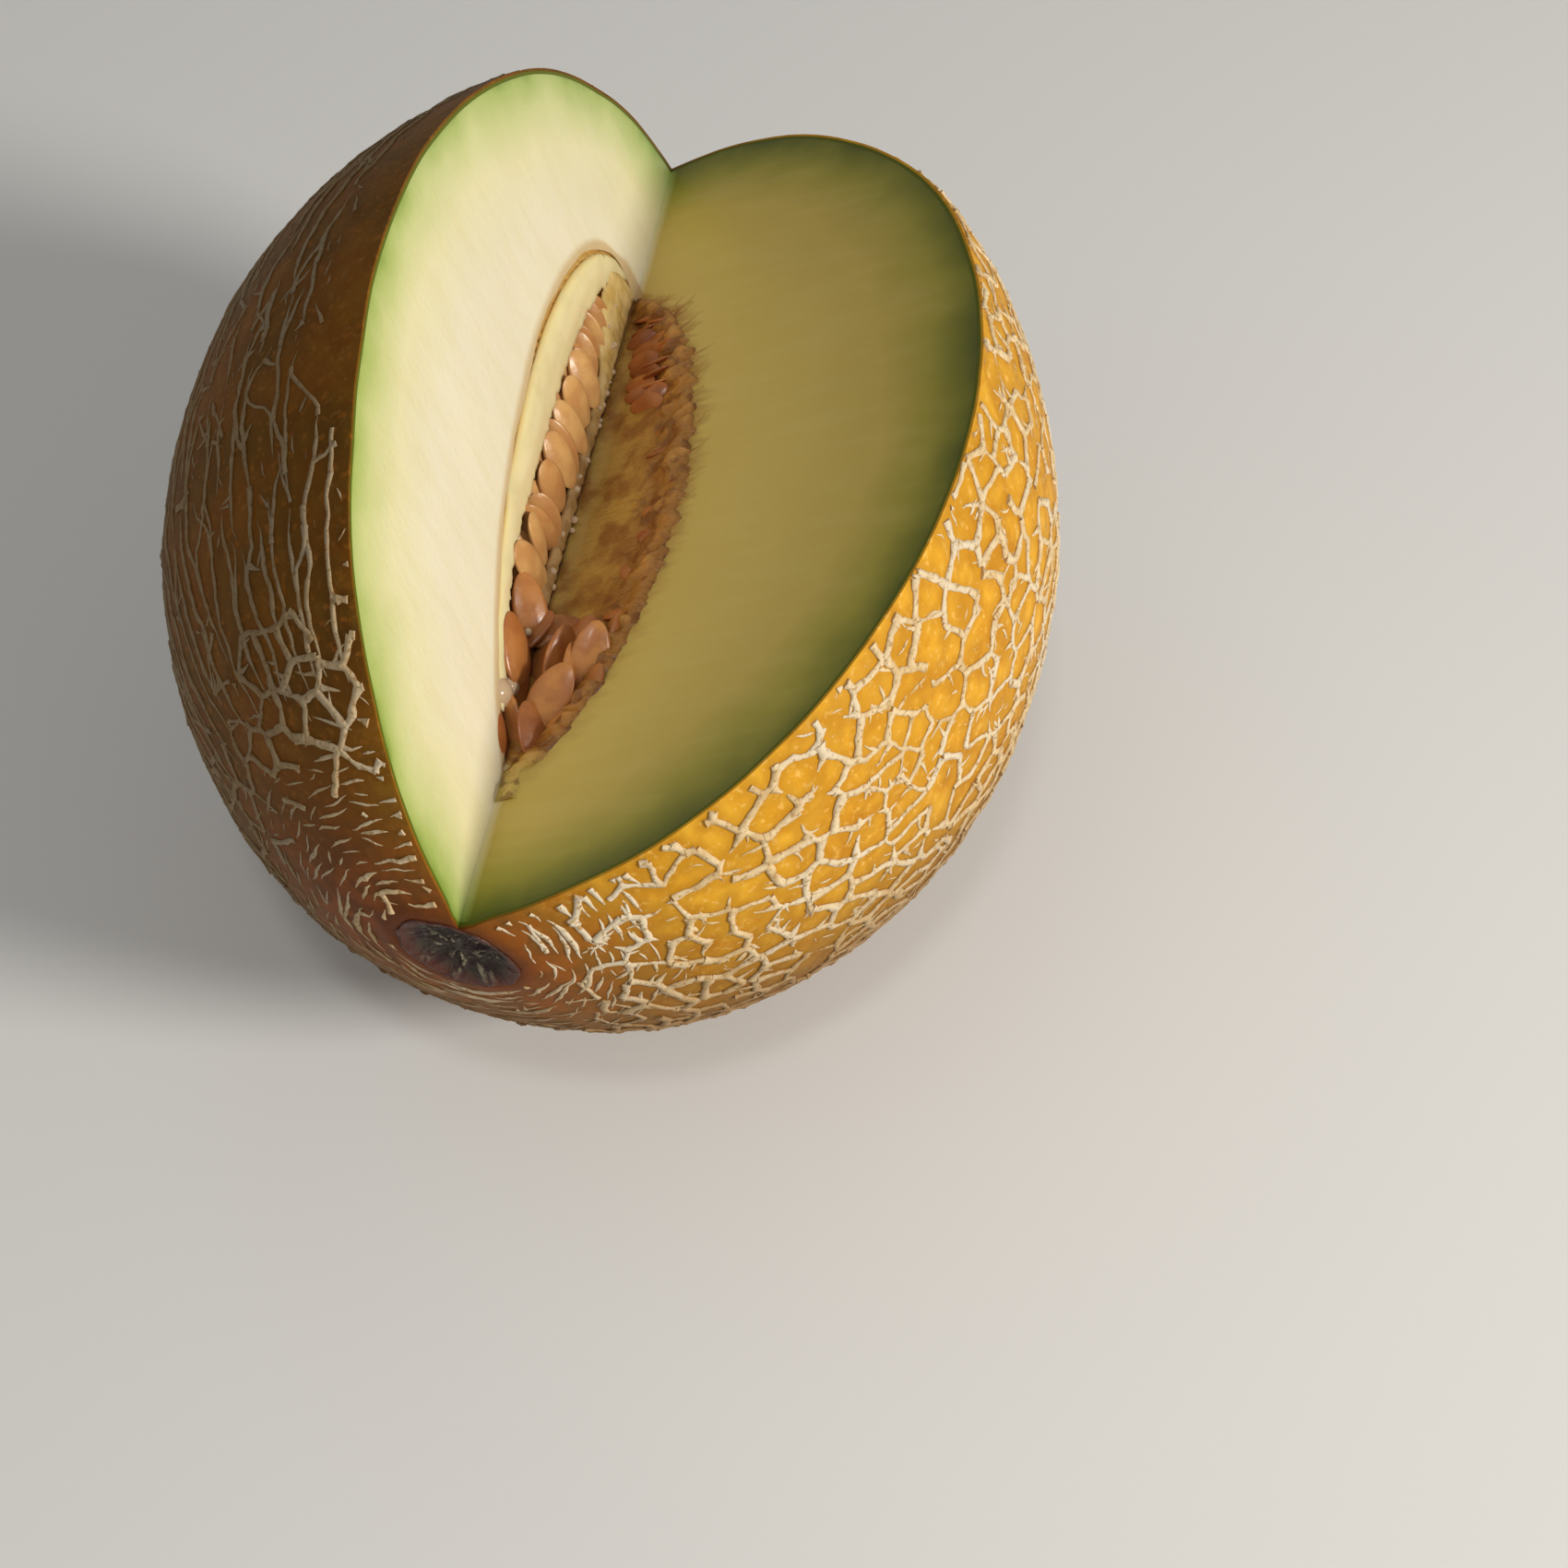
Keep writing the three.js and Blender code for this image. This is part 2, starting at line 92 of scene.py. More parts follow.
# %% [markdown]
# A point on the skin is found from a direction, a point of the unit sphere. The reverse question, how deep
# a point lies below the skin, is what colours the cut flesh later: green next to the rind and cream further
# in.
# %% The skin's surface as a formula
def skin_point(unit, lift=0.0):
    """Points on the skin in the given directions, raised by a lift, and the skin's outward normals there."""
    unit = np.asarray(unit, float).reshape(-1, 3)
    x, y, z = unit.T
    fullness = np.sqrt(np.clip(1 - np.abs(y) ** END_FULLNESS, 0, None))
    girth = BODY_RADIUS * fullness * (1 - END_TAPER * y)
    around = np.arctan2(z, x) - SECTION_TURN
    flank = np.hypot(x, z)
    long, short = np.cos(around), np.sin(around)
    local = np.stack([girth * long, BODY_HALF_LENGTH * y, girth * SECTION_FLATNESS * short], 1)
    upwards = flank * short / (BODY_RADIUS * SECTION_FLATNESS)
    normal = np.stack([flank * long / BODY_RADIUS, y / BODY_HALF_LENGTH, upwards], 1)
    normal /= np.linalg.norm(normal, axis=1, keepdims=True)
    turn = np.array(Matrix.Rotation(-SECTION_TURN, 3, "Y"))
    lift = np.asarray(lift, float).reshape(-1, 1)
    return (local + lift * normal) @ turn.T, normal @ turn.T


def depth_below_skin(points):
    """How far points lie inside the skin, measured along the line from the fruit's middle."""
    points = np.asarray(points, float).reshape(-1, 3)
    turn = np.array(Matrix.Rotation(SECTION_TURN, 3, "Y"))
    x, y, z = (points @ turn.T).T
    along = np.clip(np.abs(y) / BODY_HALF_LENGTH, 0, 1.2)
    girth = BODY_RADIUS * (1 - END_TAPER * y / BODY_HALF_LENGTH)
    share = np.sqrt((x**2 + (z / SECTION_FLATNESS) ** 2) / girth**2 + along**END_FULLNESS)
    return np.linalg.norm(points, axis=1) * (1 / np.maximum(share, 1e-6) - 1)


test_points, _ = skin_point([[1, 0, 0], [0.6, 0.8, 0], [0, -1, 0]], -5.0)
print("points 5 mm below the skin lie this deep:", depth_below_skin(test_points).round(2))

# %% [markdown]
# The wedge was taken out with two straight cuts. They meet in an edge line that runs through the fruit from
# the near scar to the far end. A place on a cut face is given by its distance along the fruit, its distance
# away from the edge line and its height over the face, which is how a cook would describe it too.
# %% The two cut faces
EDGE_NEAR = np.array([-0.2, -BODY_HALF_LENGTH, 2.8])
EDGE_FAR = np.array([-15.8, BODY_HALF_LENGTH, 6.4])
EDGE = (EDGE_FAR - EDGE_NEAR) / np.linalg.norm(EDGE_FAR - EDGE_NEAR)


def edge_point(y):
    share = (np.asarray(y, float) + BODY_HALF_LENGTH) / (2 * BODY_HALF_LENGTH)
    return EDGE_NEAR + share[..., None] * (EDGE_FAR - EDGE_NEAR)


def cut_face(degrees, other_degrees):
    """The direction away from the edge line in a cut face, and its normal, which points into the wedge."""
    rise = np.array([math.cos(math.radians(degrees)), 0, math.sin(math.radians(degrees))])
    away = rise - EDGE * (rise @ EDGE)
    away /= np.linalg.norm(away)
    normal = np.cross(EDGE, away)
    other = np.array([math.cos(math.radians(other_degrees)), 0, math.sin(math.radians(other_degrees))])
    return away, normal if normal @ other > 0 else -normal


LEFT = cut_face(109.8, 30.2)
RIGHT = cut_face(30.2, 109.8)
TO_THE_LEFT = (LEFT[0] - RIGHT[0]) / np.linalg.norm(LEFT[0] - RIGHT[0])


def on_face(face, y, away, height):
    away = np.asarray(away, float)[..., None]
    height = np.asarray(height, float)[..., None]
    return edge_point(y) + away * face[0] + height * face[1]


opening = math.degrees(math.acos(LEFT[0] @ RIGHT[0]))
print("the wedge opens by", round(opening, 1), "degrees")

# %% [markdown]
# The seed cavity is a spindle around the edge line. It is longer and slimmer towards the near end, and it
# leans a little to the left at the far end. Its radius is a formula, so the flesh that is cut away and the
# pulp that fills the hollow fit each other everywhere.
# %% The seed cavity
CAVITY_RADIUS = 21.3
CAVITY_NEAR = 60.0
CAVITY_FAR = 49.0
CAVITY_SHIFT = 1.5
CAVITY_LEAN = 0.13


def cavity_radius(y):
    y = np.asarray(y, float)
    near = np.cos(np.pi / 2 * np.clip(-y / CAVITY_NEAR, 0, 1)) ** 0.8
    far = np.sqrt(np.clip(1 - np.clip(y / CAVITY_FAR, 0, 1) ** 2.4, 0, None))
    return CAVITY_RADIUS * np.where(y < 0, near, far)


def cavity_reach(face, y):
    """How far from the edge line the cavity's border lies on a cut face."""
    shift = CAVITY_SHIFT + CAVITY_LEAN * np.asarray(y, float)
    along = shift * (TO_THE_LEFT @ face[0])
    return along + np.sqrt(np.clip(cavity_radius(y) ** 2 - shift**2 + along**2, 0, None))


reaches = [round(float(cavity_reach(face, 0.0)), 1) for face in (LEFT, RIGHT)]
print("cavity reach at the middle, left and right:", reaches)

# %% [markdown]
# The camera looks down into the wedge from the near end, slightly from the right, with the fruit in the
# upper left of the frame. The light is a studio version of low sun: one large lamp on the right, level with
# the right-hand cut, so that the left cut face is bright and the right one lies in soft shade. A pale floor
# and a pale world fill the shadows.
# %% Camera, light and floor
CENTRE = Vector((0, 0, BODY_HEIGHT)) * MM


def lamp(name, direction, distance, size, power, colour):
    data = bpy.data.lights.new(name, "AREA")
    data.shape = "DISK"
    data.size = size
    data.energy = power
    data.color = colour
    light = bpy.data.objects.new(name, data)
    direction = Vector(direction).normalized()
    light.location = CENTRE + direction * distance
    light.rotation_euler = direction.to_track_quat("Z", "Y").to_euler()
    bpy.context.scene.collection.objects.link(light)
    return light


camera_data = bpy.data.cameras.new("camera")
camera_data.sensor_width = 36.0
camera_data.lens = 62.2
camera_data.clip_start = 0.01
camera = bpy.data.objects.new("camera", camera_data)
camera.location = CENTRE + Vector((99.26, -280.53, 316.61)) * MM
camera.rotation_euler = Vector((0.1554, -0.5922, 0.7907)).to_track_quat("Z", "Y").to_euler()
bpy.context.scene.collection.objects.link(camera)
bpy.context.scene.camera = camera

lamp("key_light", (0.86, -0.20, 0.43), 1.3, 0.30, 13.0, (1.0, 0.955, 0.885))
lamp("fill_light", (-0.35, -0.75, 0.9), 1.4, 1.2, 0.9, (1.0, 0.97, 0.92))
lamp("glint_light", (0.12, -0.45, 0.95), 1.0, 0.10, 0.9, (1.0, 1.0, 0.98))

world = bpy.data.worlds.new("pale_room")
world.use_nodes = True
world.node_tree.nodes["Background"].inputs["Color"].default_value = (1.0, 0.98, 0.94, 1)
world.node_tree.nodes["Background"].inputs["Strength"].default_value = 0.25
bpy.context.scene.world = world
bpy.context.scene.view_settings.view_transform = "Standard"

floor_mesh = bpy.data.meshes.new("floor")
FLOOR_HALF = 3.0
FLOOR_CORNERS = ((-1, -1), (1, -1), (1, 1), (-1, 1))
floor_mesh.from_pydata([(FLOOR_HALF * x, FLOOR_HALF * y, 0) for x, y in FLOOR_CORNERS], [], [(0, 1, 2, 3)])
floor = bpy.data.objects.new("floor", floor_mesh)
bpy.context.scene.collection.objects.link(floor)
floor_material = bpy.data.materials.new("pale_floor")
floor_material.use_nodes = True
floor_shader = floor_material.node_tree.nodes["Principled BSDF"]
floor_shader.inputs["Base Color"].default_value = (0.86, 0.86, 0.85, 1)
floor_shader.inputs["Roughness"].default_value = 0.7
floor_mesh.materials.append(floor_material)
print("camera", [round(x, 3) for x in camera.location], "lens", camera_data.lens)

# %% [markdown]
# Materials are node trees. A small helper adds nodes by name and sets their inputs, and two effects that
# several finishes share are made once, as node groups: soft blotches of colour, and a fine grain for bumps.
# Both read the object's own coordinates, so they stay in place whatever the camera does.
# %% Helpers for node trees
def add_node(tree, kind, settings=None, **inputs):
    """A new node. Inputs are given by name, _ for a blank, as a plain value or another node's output."""
    node = tree.nodes.new(kind)
    for key, value in (settings or {}).items():
        setattr(node, key, value)
    for key, value in inputs.items():
        wanted = key.replace("_", " ")
        socket = next(s for s in node.inputs if s.name == wanted and s.enabled)
        if isinstance(value, bpy.types.NodeSocket):
            tree.links.new(value, socket)
        else:
            socket.default_value = value
    return node


def open_socket(group, name, kind, direction="INPUT", value=None):
    socket = group.interface.new_socket(name=name, in_out=direction, socket_type=kind)
    if value is not None:
        socket.default_value = value
    return socket


def blotch_group():
    """A soft mask from 0 to 1 out of noise, with a size in mm and an edge that can be soft or hard."""
    group = bpy.data.node_groups.new("blotches", "ShaderNodeTree")
    open_socket(group, "Vector", "NodeSocketVector")
    open_socket(group, "Size mm", "NodeSocketFloat", value=10.0)
    open_socket(group, "Middle", "NodeSocketFloat", value=0.5)
    open_socket(group, "Softness", "NodeSocketFloat", value=0.1)
    open_socket(group, "Mask", "NodeSocketFloat", "OUTPUT")
    start = add_node(group, "NodeGroupInput").outputs
    scale = add_node(group, "ShaderNodeMath", {"operation": "DIVIDE"})
    scale.inputs[0].default_value = 1000.0
    group.links.new(start["Size mm"], scale.inputs[1])
    cloud = add_node(group, "ShaderNodeTexNoise", Vector=start["Vector"], Scale=scale.outputs[0], Detail=4.0)
    low = add_node(group, "ShaderNodeMath", {"operation": "SUBTRACT"})
    high = add_node(group, "ShaderNodeMath", {"operation": "ADD"})
    for node in (low, high):
        group.links.new(start["Middle"], node.inputs[0])
        group.links.new(start["Softness"], node.inputs[1])
    ramp = add_node(group, "ShaderNodeMapRange", {"interpolation_type": "SMOOTHSTEP"})
    group.links.new(cloud.outputs["Fac"], ramp.inputs["Value"])
    group.links.new(low.outputs[0], ramp.inputs["From Min"])
    group.links.new(high.outputs[0], ramp.inputs["From Max"])
    end = group.nodes.new("NodeGroupOutput")
    group.links.new(ramp.outputs["Result"], end.inputs["Mask"])
    return group


def grain_group():
    """A fine uneven height from 0 to 1, noise with small pits in it, for bumps and for a little colour."""
    group = bpy.data.node_groups.new("fine_grain", "ShaderNodeTree")
    open_socket(group, "Vector", "NodeSocketVector")
    open_socket(group, "Size mm", "NodeSocketFloat", value=1.0)
    open_socket(group, "Pits", "NodeSocketFloat", value=0.3)
    open_socket(group, "Height", "NodeSocketFloat", "OUTPUT")
    start = add_node(group, "NodeGroupInput").outputs
    scale = add_node(group, "ShaderNodeMath", {"operation": "DIVIDE"})
    scale.inputs[0].default_value = 1000.0
    group.links.new(start["Size mm"], scale.inputs[1])
    cloud = add_node(group, "ShaderNodeTexNoise", Vector=start["Vector"], Scale=scale.outputs[0], Detail=5.0)
    cells = add_node(group, "ShaderNodeTexVoronoi", Vector=start["Vector"], Scale=scale.outputs[0])
    height = add_node(group, "ShaderNodeMix", {"data_type": "FLOAT"})
    group.links.new(start["Pits"], height.inputs["Factor"])
    group.links.new(cloud.outputs["Fac"], height.inputs["A"])
    group.links.new(cells.outputs["Distance"], height.inputs["B"])
    end = group.nodes.new("NodeGroupOutput")
    group.links.new(height.outputs["Result"], end.inputs["Height"])
    return group


def fibre_group():
    """Noise drawn out across a cut face, from the cavity towards the rind, read from attributes."""
    group = bpy.data.node_groups.new("fibres", "ShaderNodeTree")
    open_socket(group, "Along scale", "NodeSocketFloat", value=1.0)
    open_socket(group, "Across scale", "NodeSocketFloat", value=0.2)
    open_socket(group, "Height", "NodeSocketFloat", "OUTPUT")
    start = add_node(group, "NodeGroupInput").outputs
    place = add_node(group, "ShaderNodeCombineXYZ")
    for i, (key, scale) in enumerate((("along", "Along scale"), ("from_cavity", "Across scale"))):
        scaled = add_node(group, "ShaderNodeMath", {"operation": "MULTIPLY"})
        value = add_node(group, "ShaderNodeAttribute", {"attribute_name": key}).outputs["Fac"]
        group.links.new(value, scaled.inputs[0])
        group.links.new(start[scale], scaled.inputs[1])
        group.links.new(scaled.outputs[0], place.inputs[i])
    right_side = add_node(group, "ShaderNodeAttribute", {"attribute_name": "right_side"}).outputs["Fac"]
    side = add_node(group, "ShaderNodeMath", {"operation": "MULTIPLY"})
    group.links.new(right_side, side.inputs[0])
    side.inputs[1].default_value = 7.0
    group.links.new(side.outputs[0], place.inputs[2])
    cloud = add_node(group, "ShaderNodeTexNoise", Vector=place.outputs[0], Scale=1.0, Detail=3.0)
    end = group.nodes.new("NodeGroupOutput")
    group.links.new(cloud.outputs["Fac"], end.inputs["Height"])
    return group


BLOTCHES = blotch_group()
GRAIN = grain_group()
FIBRES = fibre_group()


class Finish:
    """A material under construction, with short ways to read attributes and to mix colours."""

    def __init__(self, name, roughness, **constants):
        self.material = bpy.data.materials.new(name)
        self.material.use_nodes = True
        self.tree = self.material.node_tree
        self.shader = self.tree.nodes["Principled BSDF"]
        self.shader.inputs["Roughness"].default_value = roughness
        for key, value in constants.items():
            self.shader.inputs[key.replace("_", " ")].default_value = value
        self.place = add_node(self.tree, "ShaderNodeTexCoord").outputs["Object"]

    def attribute(self, key):
        return add_node(self.tree, "ShaderNodeAttribute", {"attribute_name": key}).outputs["Fac"]

    def group(self, group, output, **inputs):
        node = add_node(self.tree, "ShaderNodeGroup", {"node_tree": group})
        if "Vector" in node.inputs:
            self.tree.links.new(self.place, node.inputs["Vector"])
        for key, value in inputs.items():
            node.inputs[key.replace("_", " ")].default_value = value
        return node.outputs[output]

    def blotches(self, size, middle=0.5, softness=0.1):
        return self.group(BLOTCHES, "Mask", Size_mm=size, Middle=middle, Softness=softness)

    def grain(self, size, pits=0.3):
        return self.group(GRAIN, "Height", Size_mm=size, Pits=pits)

    def fibres(self, along, across):
        return self.group(FIBRES, "Height", Along_scale=along, Across_scale=across)

    def math(self, operation, first, second):
        node = add_node(self.tree, "ShaderNodeMath", {"operation": operation})
        for socket, value in zip(node.inputs, (first, second)):
            if isinstance(value, bpy.types.NodeSocket):
                self.tree.links.new(value, socket)
            else:
                socket.default_value = value
        return node.outputs[0]

    def span(self, value, low, high, out_low=0.0, out_high=1.0):
        node = add_node(
            self.tree,
            "ShaderNodeMapRange",
            {"interpolation_type": "SMOOTHSTEP"},
            Value=value,
            From_Min=low,
            From_Max=high,
            To_Min=out_low,
            To_Max=out_high,
        )
        return node.outputs["Result"]

    def mix(self, factor, first, second):
        node = add_node(self.tree, "ShaderNodeMix", {"data_type": "RGBA"})
        factor_in, first_in, second_in = (
            next(s for s in node.inputs if s.name == key and s.enabled) for key in ("Factor", "A", "B")
        )
        for socket, value in ((factor_in, factor), (first_in, first), (second_in, second)):
            if isinstance(value, bpy.types.NodeSocket):
                self.tree.links.new(value, socket)
            else:
                socket.default_value = value
        return next(s for s in node.outputs if s.enabled)

    def ramp(self, factor, *stops):
        node = add_node(self.tree, "ShaderNodeValToRGB", Fac=factor)
        elements = node.color_ramp.elements
        while len(elements) < len(stops):
            elements.new(1.0)
        for element, (position, colour) in zip(elements, stops):
            element.position = position
            element.color = colour
        return node.outputs["Color"]

    def set(self, key, value):
        self.tree.links.new(value, self.shader.inputs[key])

    def bump(self, height, distance_mm, strength=1.0):
        distance = distance_mm * MM
        node = add_node(self.tree, "ShaderNodeBump", Height=height, Distance=distance, Strength=strength)
        self.tree.links.new(node.outputs["Normal"], self.shader.inputs["Normal"])


def srgb(red, green, blue):
    """A colour given as it looks on a screen, from 0 to 255, as the linear colour that a shader wants."""
    linear = [((c / 255 + 0.055) / 1.055) ** 2.4 if c > 10 else c / 255 / 12.92 for c in (red, green, blue)]
    return (*linear, 1.0)


print("node groups:", BLOTCHES.name, GRAIN.name, FIBRES.name)

# %% [markdown]
# The wedge is cut with a blade-like cutter whose two faces are fine grids that wave a little, because no
# hand cuts perfectly flat. The boolean passes that grid on to the flesh, so the cut faces have enough
# vertices to hold the colours that fade from the rind inwards.
# %% The wedge cutter
CUT_OVERRUN = 96.0
CUT_REACH = 112.0


def wobble(points, size, height):
    """Smooth noise in millimetres at each point, with hills about as far apart as size."""
    return np.array([height * noise.noise(Vector(point) / size) for point in points])


def cut_wave(face, y, away):
    """Height of the slightly wavy cut over the plain face."""
    flat = on_face(face, y, away, np.zeros_like(y))
    return (wobble(flat, 26.0, 0.5) + wobble(flat + 50, 9.0, 0.16)) * np.minimum(1.0, away / 6)


def wedge_cutter(name, along_steps, away_steps):
    ys = np.linspace(-CUT_OVERRUN, CUT_OVERRUN, along_steps)
    ways = np.linspace(0, CUT_REACH, away_steps)
    columns = [(RIGHT, way) for way in ways[:0:-1]] + [(LEFT, way) for way in ways]
    points = []
    for face, way in columns:
        away = np.full_like(ys, way)
        fade = np.clip((CUT_OVERRUN - np.abs(ys)) / 6, 0, 1) * (way < CUT_REACH - 1)
        points.append(on_face(face, ys, away, cut_wave(face, ys, away) * fade))
    count = len(columns)
    faces = []
    for i in range(count):
        j = (i + 1) % count
        for k in range(along_steps - 1):
            a, b = i * along_steps + k, j * along_steps + k
            faces.append((a, a + 1, b + 1, b))
    faces.append([i * along_steps for i in range(count)])
    faces.append([i * along_steps + along_steps - 1 for i in reversed(range(count))])
    cutter = make_mesh(name, np.concatenate(points), faces)
    face_outwards(cutter.data)
    return cutter


def face_outwards(mesh):
    work = bmesh.new()
    work.from_mesh(mesh)
    bmesh.ops.recalc_face_normals(work, faces=work.faces)
    if work.calc_volume(signed=True) < 0:
        bmesh.ops.reverse_faces(work, faces=work.faces)
    work.to_mesh(mesh)
    work.free()


def cut(piece, *cutters):
    """Takes the cutters out of a piece and removes them."""
    for cutter in cutters:
        step = piece.modifiers.new("cut", "BOOLEAN")
        step.operation = "DIFFERENCE"
        step.solver = "MANIFOLD"
        step.object = cutter
        apply_modifiers(piece)
        bpy.data.objects.remove(cutter)


def apply_modifiers(piece):
    """Replaces a piece's mesh by what its modifiers make of it."""
    bpy.context.view_layer.update()
    result = bpy.data.meshes.new_from_object(piece.evaluated_get(bpy.context.evaluated_depsgraph_get()))
    piece.modifiers.clear()
    piece.data = result


def smooth_by_angle(piece, degrees):
    """Smooth shading, with a crease wherever two faces meet at more than an angle."""
    piece.data.shade_smooth()
    piece.data.set_sharp_from_angle(angle=math.radians(degrees))


# %% [markdown]
# The skin is a thin shell with a real thickness, so that it shows as a fine orange line round each cut. Its
# body has gentle unevenness, a flat spot where it lies on the floor, and a dish at each end for the corky
# scars.
# %% The skin
SCAR_TILT = math.radians(-18)
NEAR_SCAR = {"x": -1.3, "z": -4.3, "half_width": 8.8, "half_height": 6.9, "depth": 2.0, "tilt": SCAR_TILT}
FAR_SCAR = {"x": -12.6, "z": 0.6, "half_width": 4.6, "half_height": 4.2, "depth": 1.0, "tilt": 0.0}


def scar_distance(points, scar, outward):
    """Distance from a scar's middle as a share of its radius, and far away for points at the other end."""
    dx, dz = points[:, 0] - scar["x"], points[:, 2] - scar["z"]
    cosine, sine = math.cos(scar["tilt"]), math.sin(scar["tilt"])
    across = (dx * cosine + dz * sine) / scar["half_width"]
    upwards = (-dx * sine + dz * cosine) / scar["half_height"]
    return np.where(points[:, 1] * outward > 0, np.hypot(across, upwards), 99.0)


def smoothstep(low, high, value):
    """0 at low, 1 at high, with a soft start and end. Low may be the larger one."""
    share = np.clip((np.asarray(value, float) - low) / (high - low), 0, 1)
    return share * share * (3 - 2 * share)


def skin_relief(points):
    """Height of the uneven skin over the plain egg shape."""
    height = wobble(points, 34.0, 0.5) + wobble(points, 12.0, 0.14)
    near = scar_distance(points, NEAR_SCAR, -1)
    far = scar_distance(points, FAR_SCAR, 1)
    height -= NEAR_SCAR["depth"] * (1 - smoothstep(0.55, 1.05, near))
    height += 0.5 * np.exp(-(((near - 1.22) / 0.22) ** 2))
    height -= FAR_SCAR["depth"] * (1 - smoothstep(0.5, 1.1, far))
    return height - 0.25


def egg(lift, around_steps, along_steps):
    """Points and faces of the closed body surface, as rings around Y between two poles."""
    latitudes = np.linspace(-np.pi / 2, np.pi / 2, along_steps + 1)[1:-1]
    angles = np.linspace(0, 2 * np.pi, around_steps, endpoint=False)
    lat, lon = np.meshgrid(latitudes, angles, indexing="ij")
    unit = np.stack([np.cos(lat) * np.cos(lon), np.sin(lat), np.cos(lat) * np.sin(lon)], 2).reshape(-1, 3)
    unit = np.concatenate([unit, [[0, -1, 0], [0, 1, 0]]])
    plain, _ = skin_point(unit)
    points, _ = skin_point(unit, skin_relief(plain) + lift)
    rows = len(latitudes)
    faces = []
    for k in range(rows - 1):
        for i in range(around_steps):
            j = (i + 1) % around_steps
            a, b = k * around_steps, (k + 1) * around_steps
            faces.append((a + i, b + i, b + j, a + j))
    south, north = rows * around_steps, rows * around_steps + 1
    last = (rows - 1) * around_steps
    for i in range(around_steps):
        j = (i + 1) % around_steps
        faces.append((i, j, south))
        faces.append((last + j, last + i, north))
    points[:, 2] = np.maximum(points[:, 2], -BODY_HEIGHT - lift)
    return points, faces


outer_points, outer_faces = egg(0.0, 300, 190)
inner_points, inner_faces = egg(-SKIN_THICKNESS, 150, 96)
skin = make_mesh("skin", outer_points, outer_faces)
face_outwards(skin.data)
skin_core = make_mesh("skin_core", inner_points, inner_faces)
face_outwards(skin_core.data)
cut(skin, skin_core, wedge_cutter("blade", 60, 36))
smooth_by_angle(skin, 35)
print("skin:", len(skin.data.vertices), "vertices", len(skin.data.polygons), "faces")

# %% [markdown]
# The flesh fills the skin. Its cut faces carry three attributes for its material: the depth below the skin,
# the distance from the seed cavity, and whether a point belongs to the right-hand cut.
# %% The flesh
FLESH_GAP = 0.03
OPENING_NEAR = -54.5
OPENING_FAR = 48.0


def cavity_solid(name, grow, stations=60, sides=72):
    """The seed cavity as a closed body, a little uneven, so that its border isn't a perfect curve."""
    angles = np.linspace(-np.pi / 2, np.pi / 2, stations)[1:-1]
    ys = np.where(angles < 0, CAVITY_NEAR, CAVITY_FAR) * np.sin(angles)
    turns = np.linspace(0, 2 * np.pi, sides, endpoint=False)
    rings = []
    for y in ys:
        middle = edge_point(y) + TO_THE_LEFT * (CAVITY_SHIFT + CAVITY_LEAN * y)
        radius = cavity_radius(y) + grow
        ring = middle + np.stack([np.cos(turns), np.zeros(sides), np.sin(turns)], 1) * radius
        radial = (ring - middle) / np.linalg.norm(ring - middle, axis=1, keepdims=True)
        rings.append(ring + wobble(ring, 7.0, 0.9)[:, None] * radial)
    points = np.concatenate(rings + [[edge_point(-CAVITY_NEAR)], [edge_point(CAVITY_FAR)]])
    faces = []
    for k in range(len(ys) - 1):
        for i in range(sides):
            j = (i + 1) % sides
            faces.append((k * sides + i, k * sides + j, (k + 1) * sides + j, (k + 1) * sides + i))
    near_tip, far_tip = len(points) - 2, len(points) - 1
    for i in range(sides):
        j = (i + 1) % sides
        faces.append((j, i, near_tip))
        faces.append(((len(ys) - 1) * sides + i, (len(ys) - 1) * sides + j, far_tip))
    solid = make_mesh(name, points, faces)
    face_outwards(solid.data)
    return solid


def face_place(points):
    """Distance from the edge line, and whether the nearer cut face is the right-hand one."""
    from_edge = points - edge_point(points[:, 1])
    away = from_edge - (from_edge @ EDGE)[:, None] * EDGE
    distance = np.linalg.norm(away, axis=1)
    right = np.abs(from_edge @ RIGHT[1]) < np.abs(from_edge @ LEFT[1])
    return distance, right


flesh_points, flesh_faces = egg(-SKIN_THICKNESS - FLESH_GAP, 150, 96)
flesh = make_mesh("flesh", flesh_points, flesh_faces)
face_outwards(flesh.data)
cut(flesh, wedge_cutter("blade", 100, 60), cavity_solid("hollow", 0.0))
smooth_by_angle(flesh, 35)
flesh_places = mesh_points(flesh.data)
edge_distance, on_right = face_place(flesh_places)
opening_y = flesh_places[:, 1].clip(OPENING_NEAR, OPENING_FAR)
reach = np.where(on_right, cavity_reach(RIGHT, opening_y), cavity_reach(LEFT, opening_y))
beyond = np.abs(flesh_places[:, 1] - opening_y)
from_cavity = np.where(beyond > 0, np.hypot((edge_distance - reach).clip(0), beyond), edge_distance - reach)
store(flesh.data, "depth", depth_below_skin(flesh_places))
store(flesh.data, "from_cavity", from_cavity)
store(flesh.data, "right_side", on_right.astype(float))
print("flesh:", len(flesh.data.vertices), "vertices", len(flesh.data.polygons), "faces")

